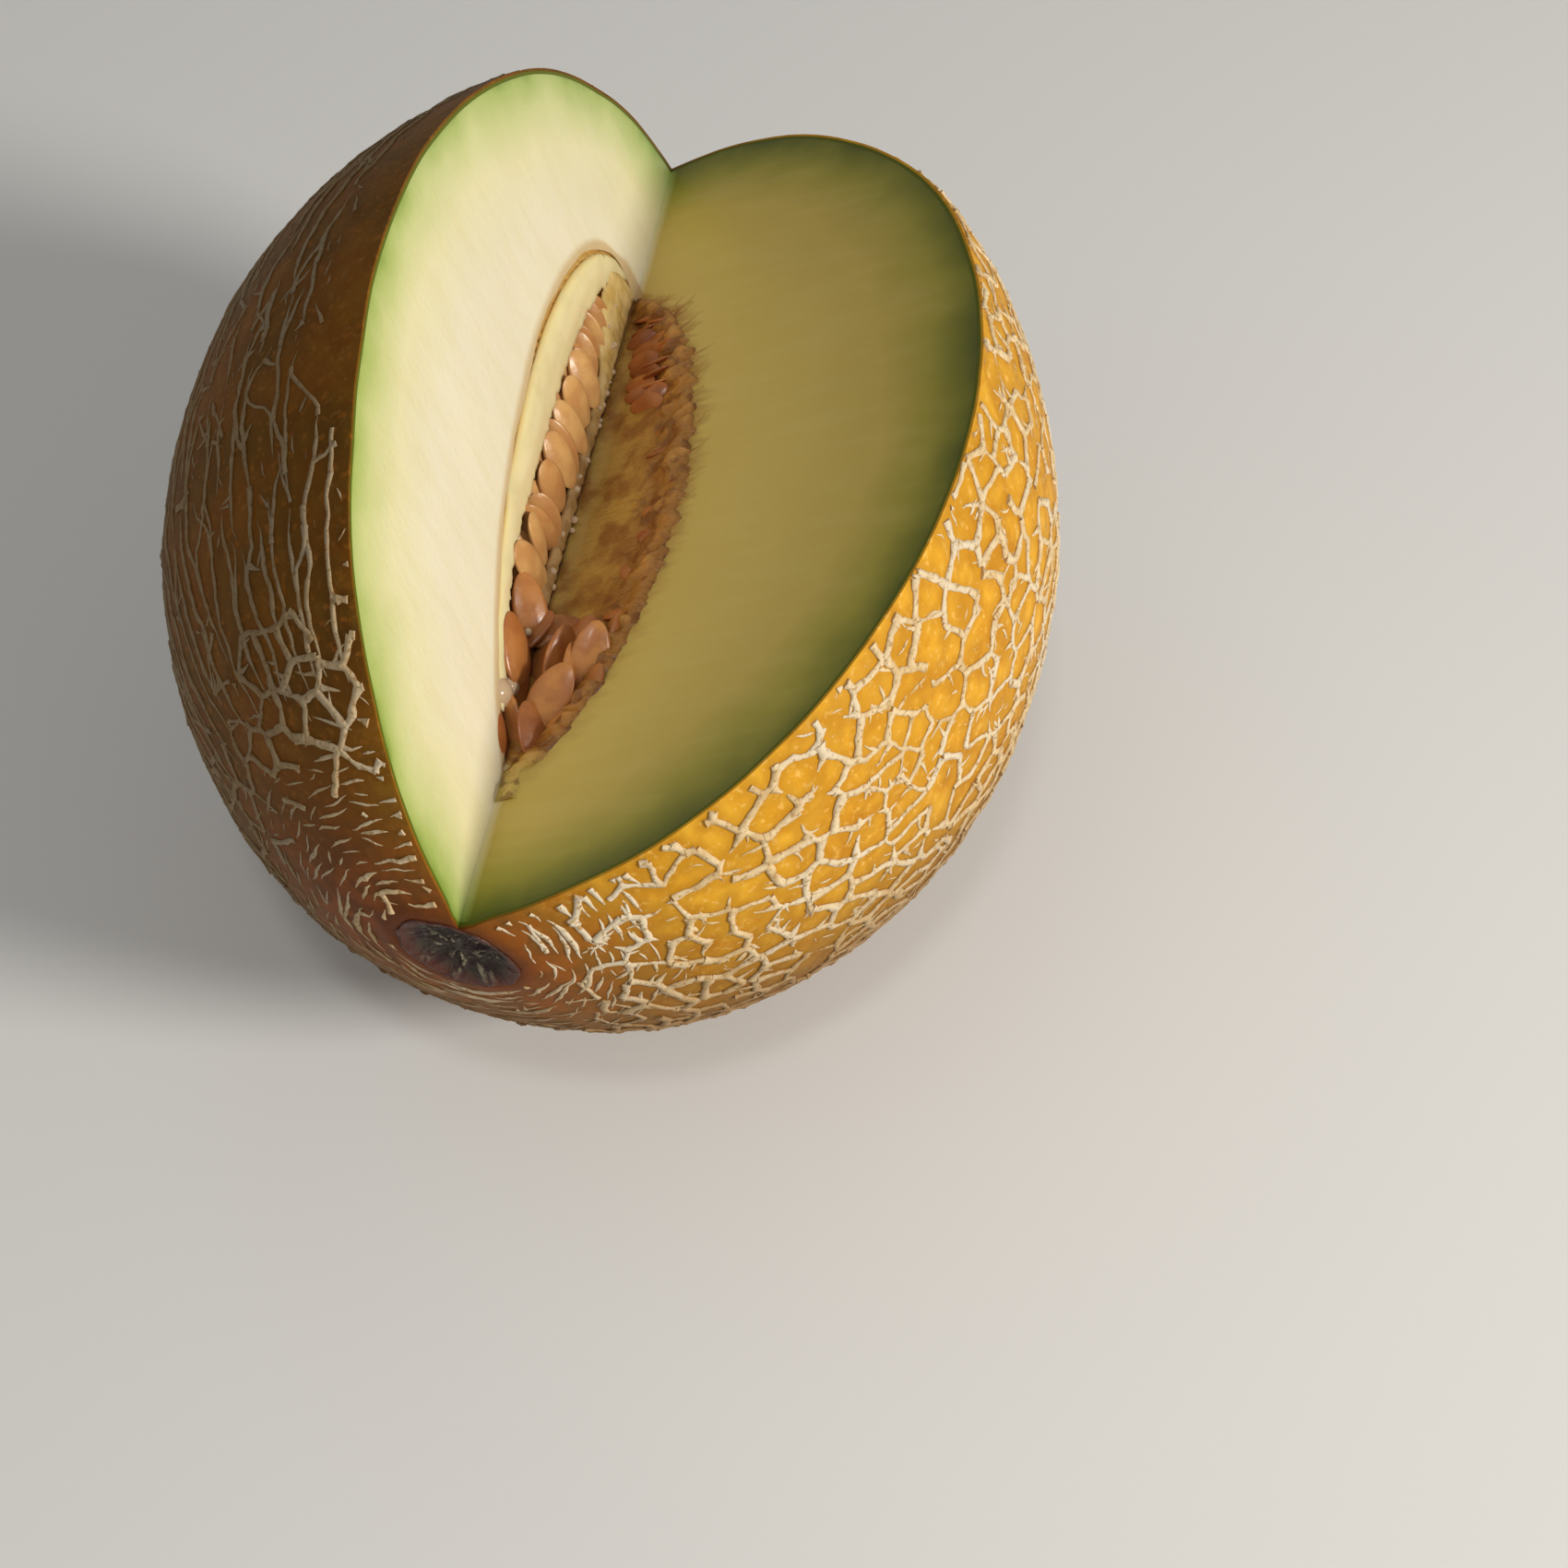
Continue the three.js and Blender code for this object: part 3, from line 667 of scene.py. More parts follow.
# %% [markdown]
# The net on a galia melon starts as cracks in the growing rind that heal with cork. Growth pulls the skin
# into cells, so the cracks follow the borders between evenly scattered points, as in dried mud. The points
# lie closer together across the grain than along it: lengthwise on the left side and in rings around the
# near scar, so the cells are drawn out there. Elsewhere they are round. A seeded random source keeps the
# net the same on every run.
# %% Scatter the middles of the net's cells
NET_SEED = 7
NET_RANDOM = random.Random(NET_SEED)
noise.seed_set(NET_SEED)
SPHERE_MM = 76.0
GRID = 8.0 / SPHERE_MM
AXIS = Vector((0, 1, 0))
NEAR_POLE = Vector((NEAR_SCAR["x"] / BODY_RADIUS, -1, NEAR_SCAR["z"] / BODY_RADIUS)).normalized()


def net_region(place):
    """How far a place belongs to the lengthwise left side, and to the rings round the scar, from 0 to 1."""
    left = float(smoothstep(0.02, 0.32, -place.x)) * float(smoothstep(-0.8, -0.4, place.z))
    left *= float(smoothstep(-0.92, -0.6, place.y))
    ringed = float(smoothstep(0.56, 0.36, (place - NEAR_POLE).length))
    ringed *= 1 - 0.75 * float(smoothstep(0.08, 0.34, place.x))
    return left * (1 - ringed), ringed


def net_grain(place):
    """The direction of the cells' length, how many times longer than wide they are, and their width in mm."""
    left, ringed = net_region(place)
    right = float(smoothstep(0.5, 0.85, place.x))
    uneven = 1 + 0.45 * noise.noise(place * 4.5)
    if ringed > 0.4:
        to_pole = NEAR_POLE - place * place.dot(NEAR_POLE)
        return place.cross(to_pole).normalized(), 1 + ringed, (5.4 - 1.6 * ringed) * uneven
    along = (AXIS - place * place.dot(AXIS)).normalized()
    return along, 1.0 + left + 0.4 * right, (5.4 - 0.5 * right) * uneven


def grid_cell(place):
    return tuple(int(math.floor(c / GRID)) for c in place)


def neighbours(grid, place, span=1):
    a, b, c = grid_cell(place)
    for i in range(a - span, a + span + 1):
        for j in range(b - span, b + span + 1):
            for k in range(c - span, c + span + 1):
                yield from grid.get((i, j, k), ())


def scatter_sites(tries):
    """Points on the unit sphere that keep a distance, longer along the grain than across it."""
    sites, grid = [], {}
    for _ in range(tries):
        y, turn = NET_RANDOM.uniform(-1, 1), NET_RANDOM.uniform(0, 2 * math.pi)
        flank = math.sqrt(1 - y * y)
        place = Vector((flank * math.cos(turn), y, flank * math.sin(turn)))
        grain, stretch, wide = net_grain(place)
        wide *= 0.82 / SPHERE_MM
        free = True
        for other in neighbours(grid, place, 2 if stretch > 1.5 else 1):
            gap = other - place
            lengthwise = gap.dot(grain)
            across = gap.length_squared - lengthwise**2
            if across + (lengthwise / stretch) ** 2 < wide**2:
                free = False
                break
        if free:
            sites.append(place)
            grid.setdefault(grid_cell(place), []).append(place)
    return sites


sites = scatter_sites(42000)
print("net cells:", len(sites))

# %% [markdown]
# The borders between the cells come from the convex hull of the scattered points: each triangle of the hull
# marks a meeting point of three cells. Real ridges are neither straight nor unbroken. Some stop half way
# and leave two stubs, many of those that run across the grain are missing, and all of them wander a little.
# On the left side and close to the scar most borders are left out, because the next step draws other cracks
# there.
# %% Draw the borders of the cells
STEP = 0.95 / SPHERE_MM


def stray(place):
    """A place moved a little by noise, the same for all ridges, so that their junctions stay closed."""
    moved = 0.9 * noise.noise_vector(place * 13) + 0.42 * noise.noise_vector(place * 42)
    return (place + moved / SPHERE_MM).normalized()


def clear_of_cuts(unit_points, margin):
    """True where the skin is there: outside the wedge by a margin in millimetres."""
    skin_places, _ = skin_point(unit_points)
    from_edge = skin_places - edge_point(skin_places[:, 1])
    return (from_edge @ RIGHT[1] < -margin) | (from_edge @ LEFT[1] < -margin)


def may_crack(places):
    """False in the wedge, on the scars, and on the bare strip of skin along the left cut."""
    unit = np.array(places, float).reshape(-1, 3)
    skin_places, _ = skin_point(unit)
    allowed = clear_of_cuts(unit, 0.5)
    allowed &= scar_distance(skin_places, NEAR_SCAR, -1) > 1.3
    allowed &= scar_distance(skin_places, FAR_SCAR, 1) > 1.25
    from_left_cut = -(skin_places - edge_point(skin_places[:, 1])) @ LEFT[1]
    y = skin_places[:, 1]
    strip = 7.0 * smoothstep(-52, -30, y) * smoothstep(46, 10, y)
    return allowed & ~((unit[:, 0] < -0.1) & (from_left_cut < strip))


def cell_borders(sites):
    """Pairs of unit vectors, the two ends of every border between neighbouring cells, in a fixed order."""
    work = bmesh.new()
    for site in sites:
        work.verts.new(site)
    work.verts.index_update()
    bmesh.ops.convex_hull(work, input=work.verts)
    meetings = {}
    for corners in sorted(sorted(vert.index for vert in face.verts) for face in work.faces):
        first, second, third = (sites[i] for i in corners)
        normal = (second - first).cross(third - first).normalized()
        meeting = normal if normal.dot(first) > 0 else -normal
        for pair in (corners[:2], corners[1:], corners[::2]):
            meetings.setdefault(tuple(pair), []).append(meeting)
    work.free()
    return [tuple(ends) for _, ends in sorted(meetings.items()) if len(ends) == 2]


def allowed_runs(path, width, open_start, open_end):
    """The parts of a path that lie on allowed skin, each as a ridge that tapers where it was cut short."""
    allowed = may_crack(path)
    run, start_open = [], open_start
    for place, inside in zip(path, allowed):
        if inside:
            run.append(place)
            continue
        if len(run) > 1:
            yield run, width, start_open, False
        run, start_open = [], False
    if len(run) > 1:
        yield run, width, start_open, open_end


def draw_path(start, stop):
    count = max(2, int((stop - start).length / STEP))
    return [stray(start.lerp(stop, i / count).normalized()) for i in range(count + 1)]


ridges_drawn = []
for start, stop in cell_borders(sites):
    span = stop - start
    if span.length < 0.25 * STEP:
        continue
    middle = ((start + stop) / 2).normalized()
    if NET_RANDOM.random() < 0.94 * smoothstep(0.2, 0.75, max(net_region(middle))):
        continue
    grain, stretch, _ = net_grain(middle)
    crosswise = 1 - abs(span.normalized().dot(grain))
    missing = 0.05 + 0.5 * min(1.0, stretch - 1) * crosswise
    chance = NET_RANDOM.random()
    if chance < missing:
        continue
    thick = 1.24 + 0.5 * noise.noise(middle * 6.0) + NET_RANDOM.gauss(0, 0.18)
    width = min(1.9, max(0.6, thick - 0.5 * max(net_region(middle))))
    path = draw_path(start, stop)
    broken = span.length > 3.5 * STEP and chance < missing + 0.08 + 0.16 * crosswise
    if broken:
        gap_from = NET_RANDOM.randint(1, len(path) - 2)
        gap_to = min(len(path) - 1, gap_from + NET_RANDOM.randint(1, 3))
        parts = [(path[: gap_from + 1], False, True), (path[gap_to:], True, False)]
    else:
        parts = [(path, False, False)]
    for part, open_start, open_end in parts:
        ridges_drawn += allowed_runs(part, width, open_start, open_end)
print("ridges between cells:", len(ridges_drawn), "with", sum(len(r[0]) for r in ridges_drawn), "points")

# %% [markdown]
# On the left side the cracks are long and run side by side from end to end, with forks where one joins the
# next. Around the near scar they are short and lie in rings.
# %% Lengthwise cracks and rings
LANES = 36
LANE_START = math.radians(115.0)
LANE_TURN = math.radians(3.9)
RINGS = 16
RING_FIRST = 0.16
RING_GAP = 0.027
RING_AXES = (NEAR_POLE.orthogonal().normalized(), NEAR_POLE.cross(NEAR_POLE.orthogonal()).normalized())


def lane_place(lane, y):
    """A place on a lengthwise lane. The lanes are counted from the left cut down to the floor."""
    turn = LANE_START + LANE_TURN * lane
    turn += 0.05 * noise.noise((lane * 7.3, y * 3.2, 0)) + 0.016 * noise.noise((lane * 5.1, y * 12, 4))
    flank = math.sqrt(1 - y * y)
    return Vector((flank * math.cos(turn), y, flank * math.sin(turn)))


def lane_crack(lane, next_lane, low, high, stop_share, open_start, open_end):
    """A crack in one lane, or one that crosses over to the next lane, cut off where the left side ends."""
    count = max(3, int((high - low) / STEP))
    path = []
    for i in range(count + 1):
        y = low + (high - low) * i / count
        crossing = float(smoothstep(0, 1, stop_share * i / count))
        place = lane_place(lane, y).lerp(lane_place(next_lane, y), crossing).normalized()
        if net_region(place)[0] > 0.1:
            path.append(stray(place))
    if len(path) > 3:
        ridges_drawn.extend(allowed_runs(path, NET_RANDOM.uniform(0.62, 1.0), open_start, open_end))


def ring_place(distance, turn):
    """A place around the near scar, given by its distance as an angle and its turn around the scar."""
    ripple = 0.018 * noise.noise((math.cos(turn) * 2.6, math.sin(turn) * 2.6, distance * 8))
    distance += ripple + 0.006 * noise.noise((math.cos(turn) * 11, math.sin(turn) * 11, distance * 30))
    outwards = RING_AXES[0] * math.cos(turn) + RING_AXES[1] * math.sin(turn)
    return NEAR_POLE * math.cos(distance) + outwards * math.sin(distance)


for lane in range(LANES):
    y = -0.88 + NET_RANDOM.uniform(0, 0.12)
    while y < 0.86:
        run = min(NET_RANDOM.uniform(0.16, 0.55), 0.9 - y)
        lane_crack(lane, lane, y, y + run, 0.0, True, True)
        y += run + NET_RANDOM.uniform(0.015, 0.06)
for _ in range(300):
    lane, y = NET_RANDOM.randint(1, LANES - 2), NET_RANDOM.uniform(-0.8, 0.7)
    run = NET_RANDOM.uniform(0.07, 0.15)
    joined = NET_RANDOM.random() < 0.55
    lane_crack(lane, lane + NET_RANDOM.choice((-1, 1)), y, y + run, 1.0 if joined else 0.6, False, not joined)
for ring in range(RINGS):
    distance = RING_FIRST + RING_GAP * ring
    turn = NET_RANDOM.uniform(0, 1)
    ring_end = turn + 2 * math.pi
    while turn < ring_end:
        longest = 14.0 if distance < 0.27 else 7.0
        run = NET_RANDOM.uniform(1.6, longest) / (SPHERE_MM * math.sin(distance))
        drift = NET_RANDOM.gauss(0, 0.012)
        count = max(2, int(run * math.sin(distance) / STEP))
        path = [ring_place(distance + drift * i / count, turn + run * i / count) for i in range(count + 1)]
        if NET_RANDOM.random() < smoothstep(0.02, 0.4, net_region(path[0])[1]):
            ridges_drawn.extend(allowed_runs(path, NET_RANDOM.uniform(0.6, 1.15), True, True))
        turn += run + NET_RANDOM.uniform(0.8, 2.8) / (SPHERE_MM * math.sin(distance))
print("with lengthwise cracks and rings:", len(ridges_drawn))

# %% [markdown]
# Thin spurs branch off from many ridges and end inside a cell, short dashes lie alone in the bare skin, and
# in some places several cracks have healed together into a lumpy knot of cork.
# %% Spurs, dashes and knots
def short_ridge(start, heading, steps, width, open_start):
    """A nearly straight short ridge that tapers to its end."""
    path, place = [start], start
    for _ in range(steps):
        heading = Matrix.Rotation(NET_RANDOM.gauss(0, 0.22), 3, place) @ heading
        place = (place + heading * STEP).normalized()
        heading = (heading - place * heading.dot(place)).normalized()
        path.append(place)
    return list(allowed_runs(path, width, open_start, True))


def add_spurs(count):
    hosts = [ridge[0] for ridge in ridges_drawn if len(ridge[0]) > 3 and net_region(ridge[0][0])[1] < 0.3]
    for _ in range(count):
        host = NET_RANDOM.choice(hosts)
        i = NET_RANDOM.randint(1, len(host) - 2)
        side = NET_RANDOM.choice((-1, 1)) * math.radians(NET_RANDOM.uniform(40, 90))
        heading = (Matrix.Rotation(side, 3, host[i]) @ (host[i + 1] - host[i])).normalized()
        steps, width = NET_RANDOM.randint(2, 4), NET_RANDOM.uniform(0.7, 1.15)
        spurs.extend(short_ridge(host[i], heading, steps, width, False))


def add_dashes(tries):
    near = kdtree.KDTree(sum(len(ridge[0]) for ridge in ridges_drawn))
    for i, place in enumerate(place for ridge in ridges_drawn for place in ridge[0]):
        near.insert(place, i)
    near.balance()
    for _ in range(tries):
        place = Vector([NET_RANDOM.gauss(0, 1) for _ in range(3)]).normalized()
        ringed = net_region(place)[1] > 0.3
        if near.find(place)[2] < (1.3 if ringed else 1.6) / SPHERE_MM:
            continue
        heading = Matrix.Rotation(NET_RANDOM.gauss(0, 0.2 if ringed else 0.6), 3, place) @ net_grain(place)[0]
        steps, width = NET_RANDOM.randint(1, 3), NET_RANDOM.uniform(0.6, 1.05)
        spurs.extend(short_ridge(place, heading, steps, width, True))


def add_knots(count):
    hosts = [ridge[0] for ridge in ridges_drawn if ridge[0][0].x > -0.1]
    for _ in range(count):
        middle = NET_RANDOM.choice(hosts)[0]
        for _ in range(NET_RANDOM.randint(3, 6)):
            turn = Matrix.Rotation(NET_RANDOM.uniform(0, math.pi), 3, middle)
            heading = turn @ middle.orthogonal().normalized()
            start = (middle + Vector([NET_RANDOM.gauss(0, 0.01) for _ in range(3)])).normalized()
            steps, width = NET_RANDOM.randint(1, 3), NET_RANDOM.uniform(1.0, 1.7)
            spurs.extend(short_ridge(start, heading, steps, width, True))


spurs = []
add_spurs(1300)
add_dashes(5200)
add_knots(80)
ridges_drawn += spurs
print("ridges in all:", len(ridges_drawn), "with", sum(len(r[0]) for r in ridges_drawn), "points")

# %% [markdown]
# Each crack becomes a ridge of cork. A Geometry Nodes tree sweeps a low rounded profile along the chain of
# points: the width is an attribute on the points, the profile keeps upright through the skin's normal, and
# a little noise roughens the cork. A height mark on the profile lets the material paint the ridge's foot
# darker than its crest, partly the cork's own colour and partly painted shade.
# %% Sweep the ridges
RIDGE_SWELL = 0.32
RIDGE_FINE_SWELL = 0.3


def net_lines(ridges):
    """Points, widths and upright directions of ridges on the skin, in one list for each."""
    counts = [len(ridge[0]) for ridge in ridges]
    places = [place for ridge in ridges for place in ridge[0]]
    plain, _ = skin_point(places)
    points, normals = skin_point(places, skin_relief(plain))
    points[:, 2] = np.maximum(points[:, 2], -BODY_HEIGHT + 0.35)
    lines, first = [], 0
    for (path, width, open_start, open_end), count in zip(ridges, counts):
        step = np.arange(count)
        coarse = np.array([noise.noise(place * 55) for place in path])
        fine = np.array([noise.noise(place * 170) for place in path])
        swell = 1 + RIDGE_SWELL * coarse + RIDGE_FINE_SWELL * fine
        ends = 2 * step / (count - 1) - 1
        swell *= 0.86 + 0.3 * ends**2 if not (open_start and open_end) else 1.1 - 0.35 * ends**2
        if open_start:
            swell *= np.minimum(1.0, 0.2 + 0.8 * step / min(4.0, 0.6 * count))
        if open_end:
            swell *= np.minimum(1.0, 0.2 + 0.8 * (count - 1 - step) / min(4.0, 0.6 * count))
        lines.append((points[first : first + count], width * swell, normals[first : first + count]))
        first += count
    return lines


def sweep_lines(name, lines, material, **shape):
    """One piece with a ridge along every line, each line given as points, widths and upright directions."""
    mesh = bpy.data.meshes.new(name)
    points = np.concatenate([line[0] for line in lines])
    edges, first = [], 0
    for line in lines:
        edges += [(first + i, first + i + 1) for i in range(len(line[0]) - 1)]
        first += len(line[0])
    mesh.from_pydata((points + (0, 0, BODY_HEIGHT)) * MM, edges, [])
    store(mesh, "width", np.concatenate([line[1] for line in lines]))
    store(mesh, "upright", np.concatenate([line[2] for line in lines]))
    store(mesh, "share", np.concatenate([np.linspace(0, 1, len(line[0])) for line in lines]))
    piece = bpy.data.objects.new(name, mesh)
    bpy.context.scene.collection.objects.link(piece)
    grow_with_nodes(piece, RIDGE_SWEEP, Material=material, **shape)
    print(name, len(lines), "lines", len(piece.data.polygons), "faces")
    return piece


def sweep_tree():
    tree = bpy.data.node_groups.new("cork_ridges", "GeometryNodeTree")
    open_socket(tree, "Geometry", "NodeSocketGeometry")
    open_socket(tree, "Ridge width", "NodeSocketFloat", value=1.0)
    open_socket(tree, "Ridge height", "NodeSocketFloat", value=0.42)
    open_socket(tree, "Lift mm", "NodeSocketFloat", value=0.09)
    open_socket(tree, "Roughness mm", "NodeSocketFloat", value=0.15)
    open_socket(tree, "Material", "NodeSocketMaterial")
    open_socket(tree, "Geometry", "NodeSocketGeometry", "OUTPUT")
    start = add_node(tree, "NodeGroupInput").outputs
    width = add_node(tree, "GeometryNodeInputNamedAttribute", {"data_type": "FLOAT"}, Name="width")
    upright = add_node(tree, "GeometryNodeInputNamedAttribute", {"data_type": "FLOAT_VECTOR"}, Name="upright")
    line = add_node(tree, "GeometryNodeMeshToCurve", Mesh=start["Geometry"])
    normal = add_node(
        tree,
        "GeometryNodeSetCurveNormal",
        {"mode": "FREE"},
        Curve=line.outputs[0],
        Normal=attribute_out(upright),
    )
    radius = add_node(tree, "ShaderNodeMath", {"operation": "MULTIPLY"})
    tree.links.new(attribute_out(width), radius.inputs[0])
    tree.links.new(start["Ridge width"], radius.inputs[1])
    half = 0.5 * MM
    profile = add_node(tree, "GeometryNodeCurvePrimitiveCircle", Resolution=6, Radius=half)
    place = add_node(tree, "GeometryNodeInputPosition")
    parts = add_node(tree, "ShaderNodeSeparateXYZ", Vector=place.outputs[0])
    crest = add_node(tree, "ShaderNodeMapRange", Value=parts.outputs["X"], From_Min=-half, From_Max=half)
    flat = add_node(tree, "ShaderNodeMath", {"operation": "MULTIPLY"})
    tree.links.new(parts.outputs["X"], flat.inputs[0])
    tree.links.new(start["Ridge height"], flat.inputs[1])
    lift = add_node(tree, "ShaderNodeMath", {"operation": "MULTIPLY_ADD"})
    tree.links.new(start["Lift mm"], lift.inputs[0])
    lift.inputs[1].default_value = MM
    tree.links.new(flat.outputs[0], lift.inputs[2])
    shape = add_node(tree, "ShaderNodeCombineXYZ", X=lift.outputs[0], Y=parts.outputs["Y"])
    flattened = add_node(
        tree, "GeometryNodeSetPosition", Geometry=profile.outputs[0], Position=shape.outputs[0]
    )
    marked = add_node(
        tree,
        "GeometryNodeStoreNamedAttribute",
        {"data_type": "FLOAT", "domain": "POINT"},
        Geometry=flattened.outputs[0],
        Name="crest",
        Value=crest.outputs["Result"],
    )
    swept = add_node(
        tree,
        "GeometryNodeCurveToMesh",
        Curve=normal.outputs[0],
        Profile_Curve=marked.outputs[0],
        Scale=radius.outputs[0],
        Fill_Caps=True,
    )
    grit = add_node(tree, "ShaderNodeTexNoise", Scale=1300.0, Detail=2.0)
    centred = add_node(tree, "ShaderNodeVectorMath", {"operation": "SUBTRACT"})
    tree.links.new(grit.outputs["Color"], centred.inputs[0])
    centred.inputs[1].default_value = (0.5, 0.5, 0.5)
    strength = add_node(tree, "ShaderNodeMath", {"operation": "MULTIPLY"})
    tree.links.new(start["Roughness mm"], strength.inputs[0])
    strength.inputs[1].default_value = 2 * MM
    shove = add_node(tree, "ShaderNodeVectorMath", {"operation": "SCALE"})
    tree.links.new(centred.outputs[0], shove.inputs[0])
    tree.links.new(strength.outputs[0], shove.inputs["Scale"])
    rough = add_node(tree, "GeometryNodeSetPosition", Geometry=swept.outputs[0], Offset=shove.outputs[0])
    smooth = add_node(tree, "GeometryNodeSetShadeSmooth", Geometry=rough.outputs[0])
    real = add_node(tree, "GeometryNodeRealizeInstances", Geometry=smooth.outputs[0])
    painted = add_node(tree, "GeometryNodeSetMaterial", Geometry=real.outputs[0], Material=start["Material"])
    end = tree.nodes.new("NodeGroupOutput")
    tree.links.new(painted.outputs[0], end.inputs["Geometry"])
    return tree


def attribute_out(node):
    """The output of a named attribute node that has the node's own data type."""
    return next(s for s in node.outputs if s.enabled and s.name == "Attribute")


def grow_with_nodes(piece, tree, **inputs):
    """Runs a Geometry Nodes tree on a piece with inputs given by name, and keeps the plain mesh."""
    step = piece.modifiers.new(tree.name, "NODES")
    step.node_group = tree
    for item in tree.interface.items_tree:
        if item.item_type == "SOCKET" and item.in_out == "INPUT":
            key = item.name.replace(" ", "_")
            if key in inputs:
                step[item.identifier] = inputs[key]
    apply_modifiers(piece)
    return piece


cork = Finish("cork_net", 0.85)
RIDGE_SWEEP = sweep_tree()
ridges, net_places = [], []
for name, side in (("net_right", 1), ("net_left", -1)):
    middles = [(ridge, ridge[0][len(ridge[0]) // 2]) for ridge in ridges_drawn]
    lines = net_lines([ridge for ridge, middle in middles if (middle.x >= -0.05) == (side > 0)])
    ridges.append(sweep_lines(name, lines, cork.material))
    net_places += [line[0] for line in lines]
net_places = np.concatenate(net_places)

# %% [markdown]
# The rind is a waxy orange-yellow skin, reddish around the near scar. On the left side it is darker umber,
# partly its own browner colour and partly painted shade, and towards the underside it is darker as painted
# shade. Next to every ridge of cork the skin turns a little olive, partly its own colour and partly painted
# shade. The nearness to the net is measured once and kept on the mesh.
# %% Finish of the rind
def shading_marks(points):
    """Where the skin is darker (left side: own browner colour and painted shade; underside: painted shade),
    and how close it is to the near scar.
    """
    near = scar_distance(points, NEAR_SCAR, -1)
    # The left side is partly the rind's own browner colour, partly painted shade; the underside is darker as
    # painted shade.
    left = smoothstep(-14, 20, -points[:, 0])
    under = 0.85 * smoothstep(12, -32, points[:, 2])
    return np.maximum(left, under), smoothstep(4.6, 1.3, near), smoothstep(1.7, 1.1, near)


def closeness(points, targets, near, far):
    """1 for points that are nearer than near to some target, falling to 0 at far."""
    tree = kdtree.KDTree(len(targets))
    for i, target in enumerate(targets):
        tree.insert(target, i)
    tree.balance()
    gaps = np.array([tree.find(point)[2] for point in points])
    return 1 - smoothstep(near, far, gaps)


skin_places = mesh_points(skin.data)
# The first mask marks painted shade on the left side and underside, with the left side's own browner colour.
browner_and_shaded_side, scar_area, scar_rim = shading_marks(skin_places)
store(skin.data, "brown", browner_and_shaded_side)
store(skin.data, "scar_area", scar_area)
store(skin.data, "scar_rim", scar_rim)
store(skin.data, "depth", depth_below_skin(skin_places) + skin_relief(skin_places))
store(skin.data, "net_near", closeness(skin_places, net_places, 0.6, 2.4))

rind = Finish("rind", 0.56, Specular_IOR_Level=0.12)
yellow = rind.mix(rind.blotches(18.0, 0.5, 0.2), srgb(218, 158, 32), srgb(200, 134, 24))
yellow = rind.mix(rind.blotches(4.0, 0.5, 0.2), yellow, srgb(228, 170, 46))
yellow = rind.mix(rind.blotches(1.1, 0.62, 0.06), yellow, srgb(236, 184, 84))
# Olive next to each ridge of cork: partly the skin's own colour, partly painted shade at the ridge's foot.
olive_and_shade = rind.math("MULTIPLY", rind.attribute("net_near"), 0.5)
yellow = rind.mix(olive_and_shade, yellow, srgb(172, 116, 26))
# Umber for the left side and underside: partly the rind's own browner colour, darkened as painted shade.
umber_and_shade = rind.mix(rind.blotches(12.0, 0.5, 0.14), srgb(94, 46, 4), srgb(60, 30, 4))
umber_and_shade = rind.mix(rind.blotches(1.4, 0.62, 0.08), umber_and_shade, srgb(116, 64, 18))
colour = rind.mix(rind.math("MULTIPLY", rind.attribute("brown"), 0.85), yellow, umber_and_shade)
rust = rind.mix(rind.blotches(4.0, 0.5, 0.12), srgb(146, 74, 22), srgb(108, 54, 20))
colour = rind.mix(rind.math("MULTIPLY", rind.attribute("scar_area"), 0.8), colour, rust)
colour = rind.mix(rind.math("MULTIPLY", rind.attribute("scar_rim"), 0.7), colour, srgb(98, 44, 16))
colour = rind.mix(rind.span(rind.attribute("depth"), 0.3, 0.55), colour, srgb(96, 104, 30))
rind.set("Base Color", colour)
rind.bump(rind.grain(1.6, 0.4), 0.25, 0.5)
skin.data.materials.clear()
skin.data.materials.append(rind.material)
print("rind:", len(rind.tree.nodes), "nodes")

# %% [markdown]
# The cork of the net is cream on its crest and a brownish olive at its foot, the darker foot partly its own
# colour and partly painted shade. It is greyer and darker on the left side and towards the bottom, painted
# shade. The flesh is coloured by its depth: dark green right under the skin, pale green, then cream; on the
# right-hand cut its tones are olive, painted shade. Fine streaks run from the cavity towards the rind, and
# around the cavity the flesh looks bruised and brownish, in teeth that follow its fibres.
# %% Finishes of the cork and the flesh
crest_tone = cork.mix(cork.blotches(2.0, 0.5, 0.15), srgb(228, 204, 160), srgb(208, 176, 124))
crest_tone = cork.mix(cork.blotches(24.0, 0.55, 0.1), crest_tone, srgb(222, 206, 176))
crest_tone = cork.mix(cork.blotches(0.7, 0.6, 0.06), crest_tone, srgb(178, 144, 92))
# The ridge's foot is darker: partly the cork's own colour, partly painted shade where the ridge meets the
# skin.
foot_tone_and_shade = cork.mix(cork.blotches(8.0, 0.5, 0.2), srgb(160, 118, 46), srgb(128, 98, 44))
tone = cork.mix(cork.span(cork.attribute("crest"), 0.3, 0.66), foot_tone_and_shade, crest_tone)
where = add_node(cork.tree, "ShaderNodeSeparateXYZ", Vector=cork.place)
# Darker towards the bottom of the fruit: painted shade.
tone = cork.mix(cork.span(where.outputs["Z"], 0.074, 0.034, 0.0, 0.85), tone, srgb(132, 94, 48))
# Greyer and darker on the left side: painted shade.
shaded_left_share = cork.span(where.outputs["X"], -0.004, -0.034, 0.0, 0.8)
cork.set("Base Color", cork.mix(shaded_left_share, tone, srgb(104, 80, 50)))
cork.bump(cork.grain(0.7, 0.5), 0.2, 0.6)
store(flesh.data, "along", flesh_places[:, 1])

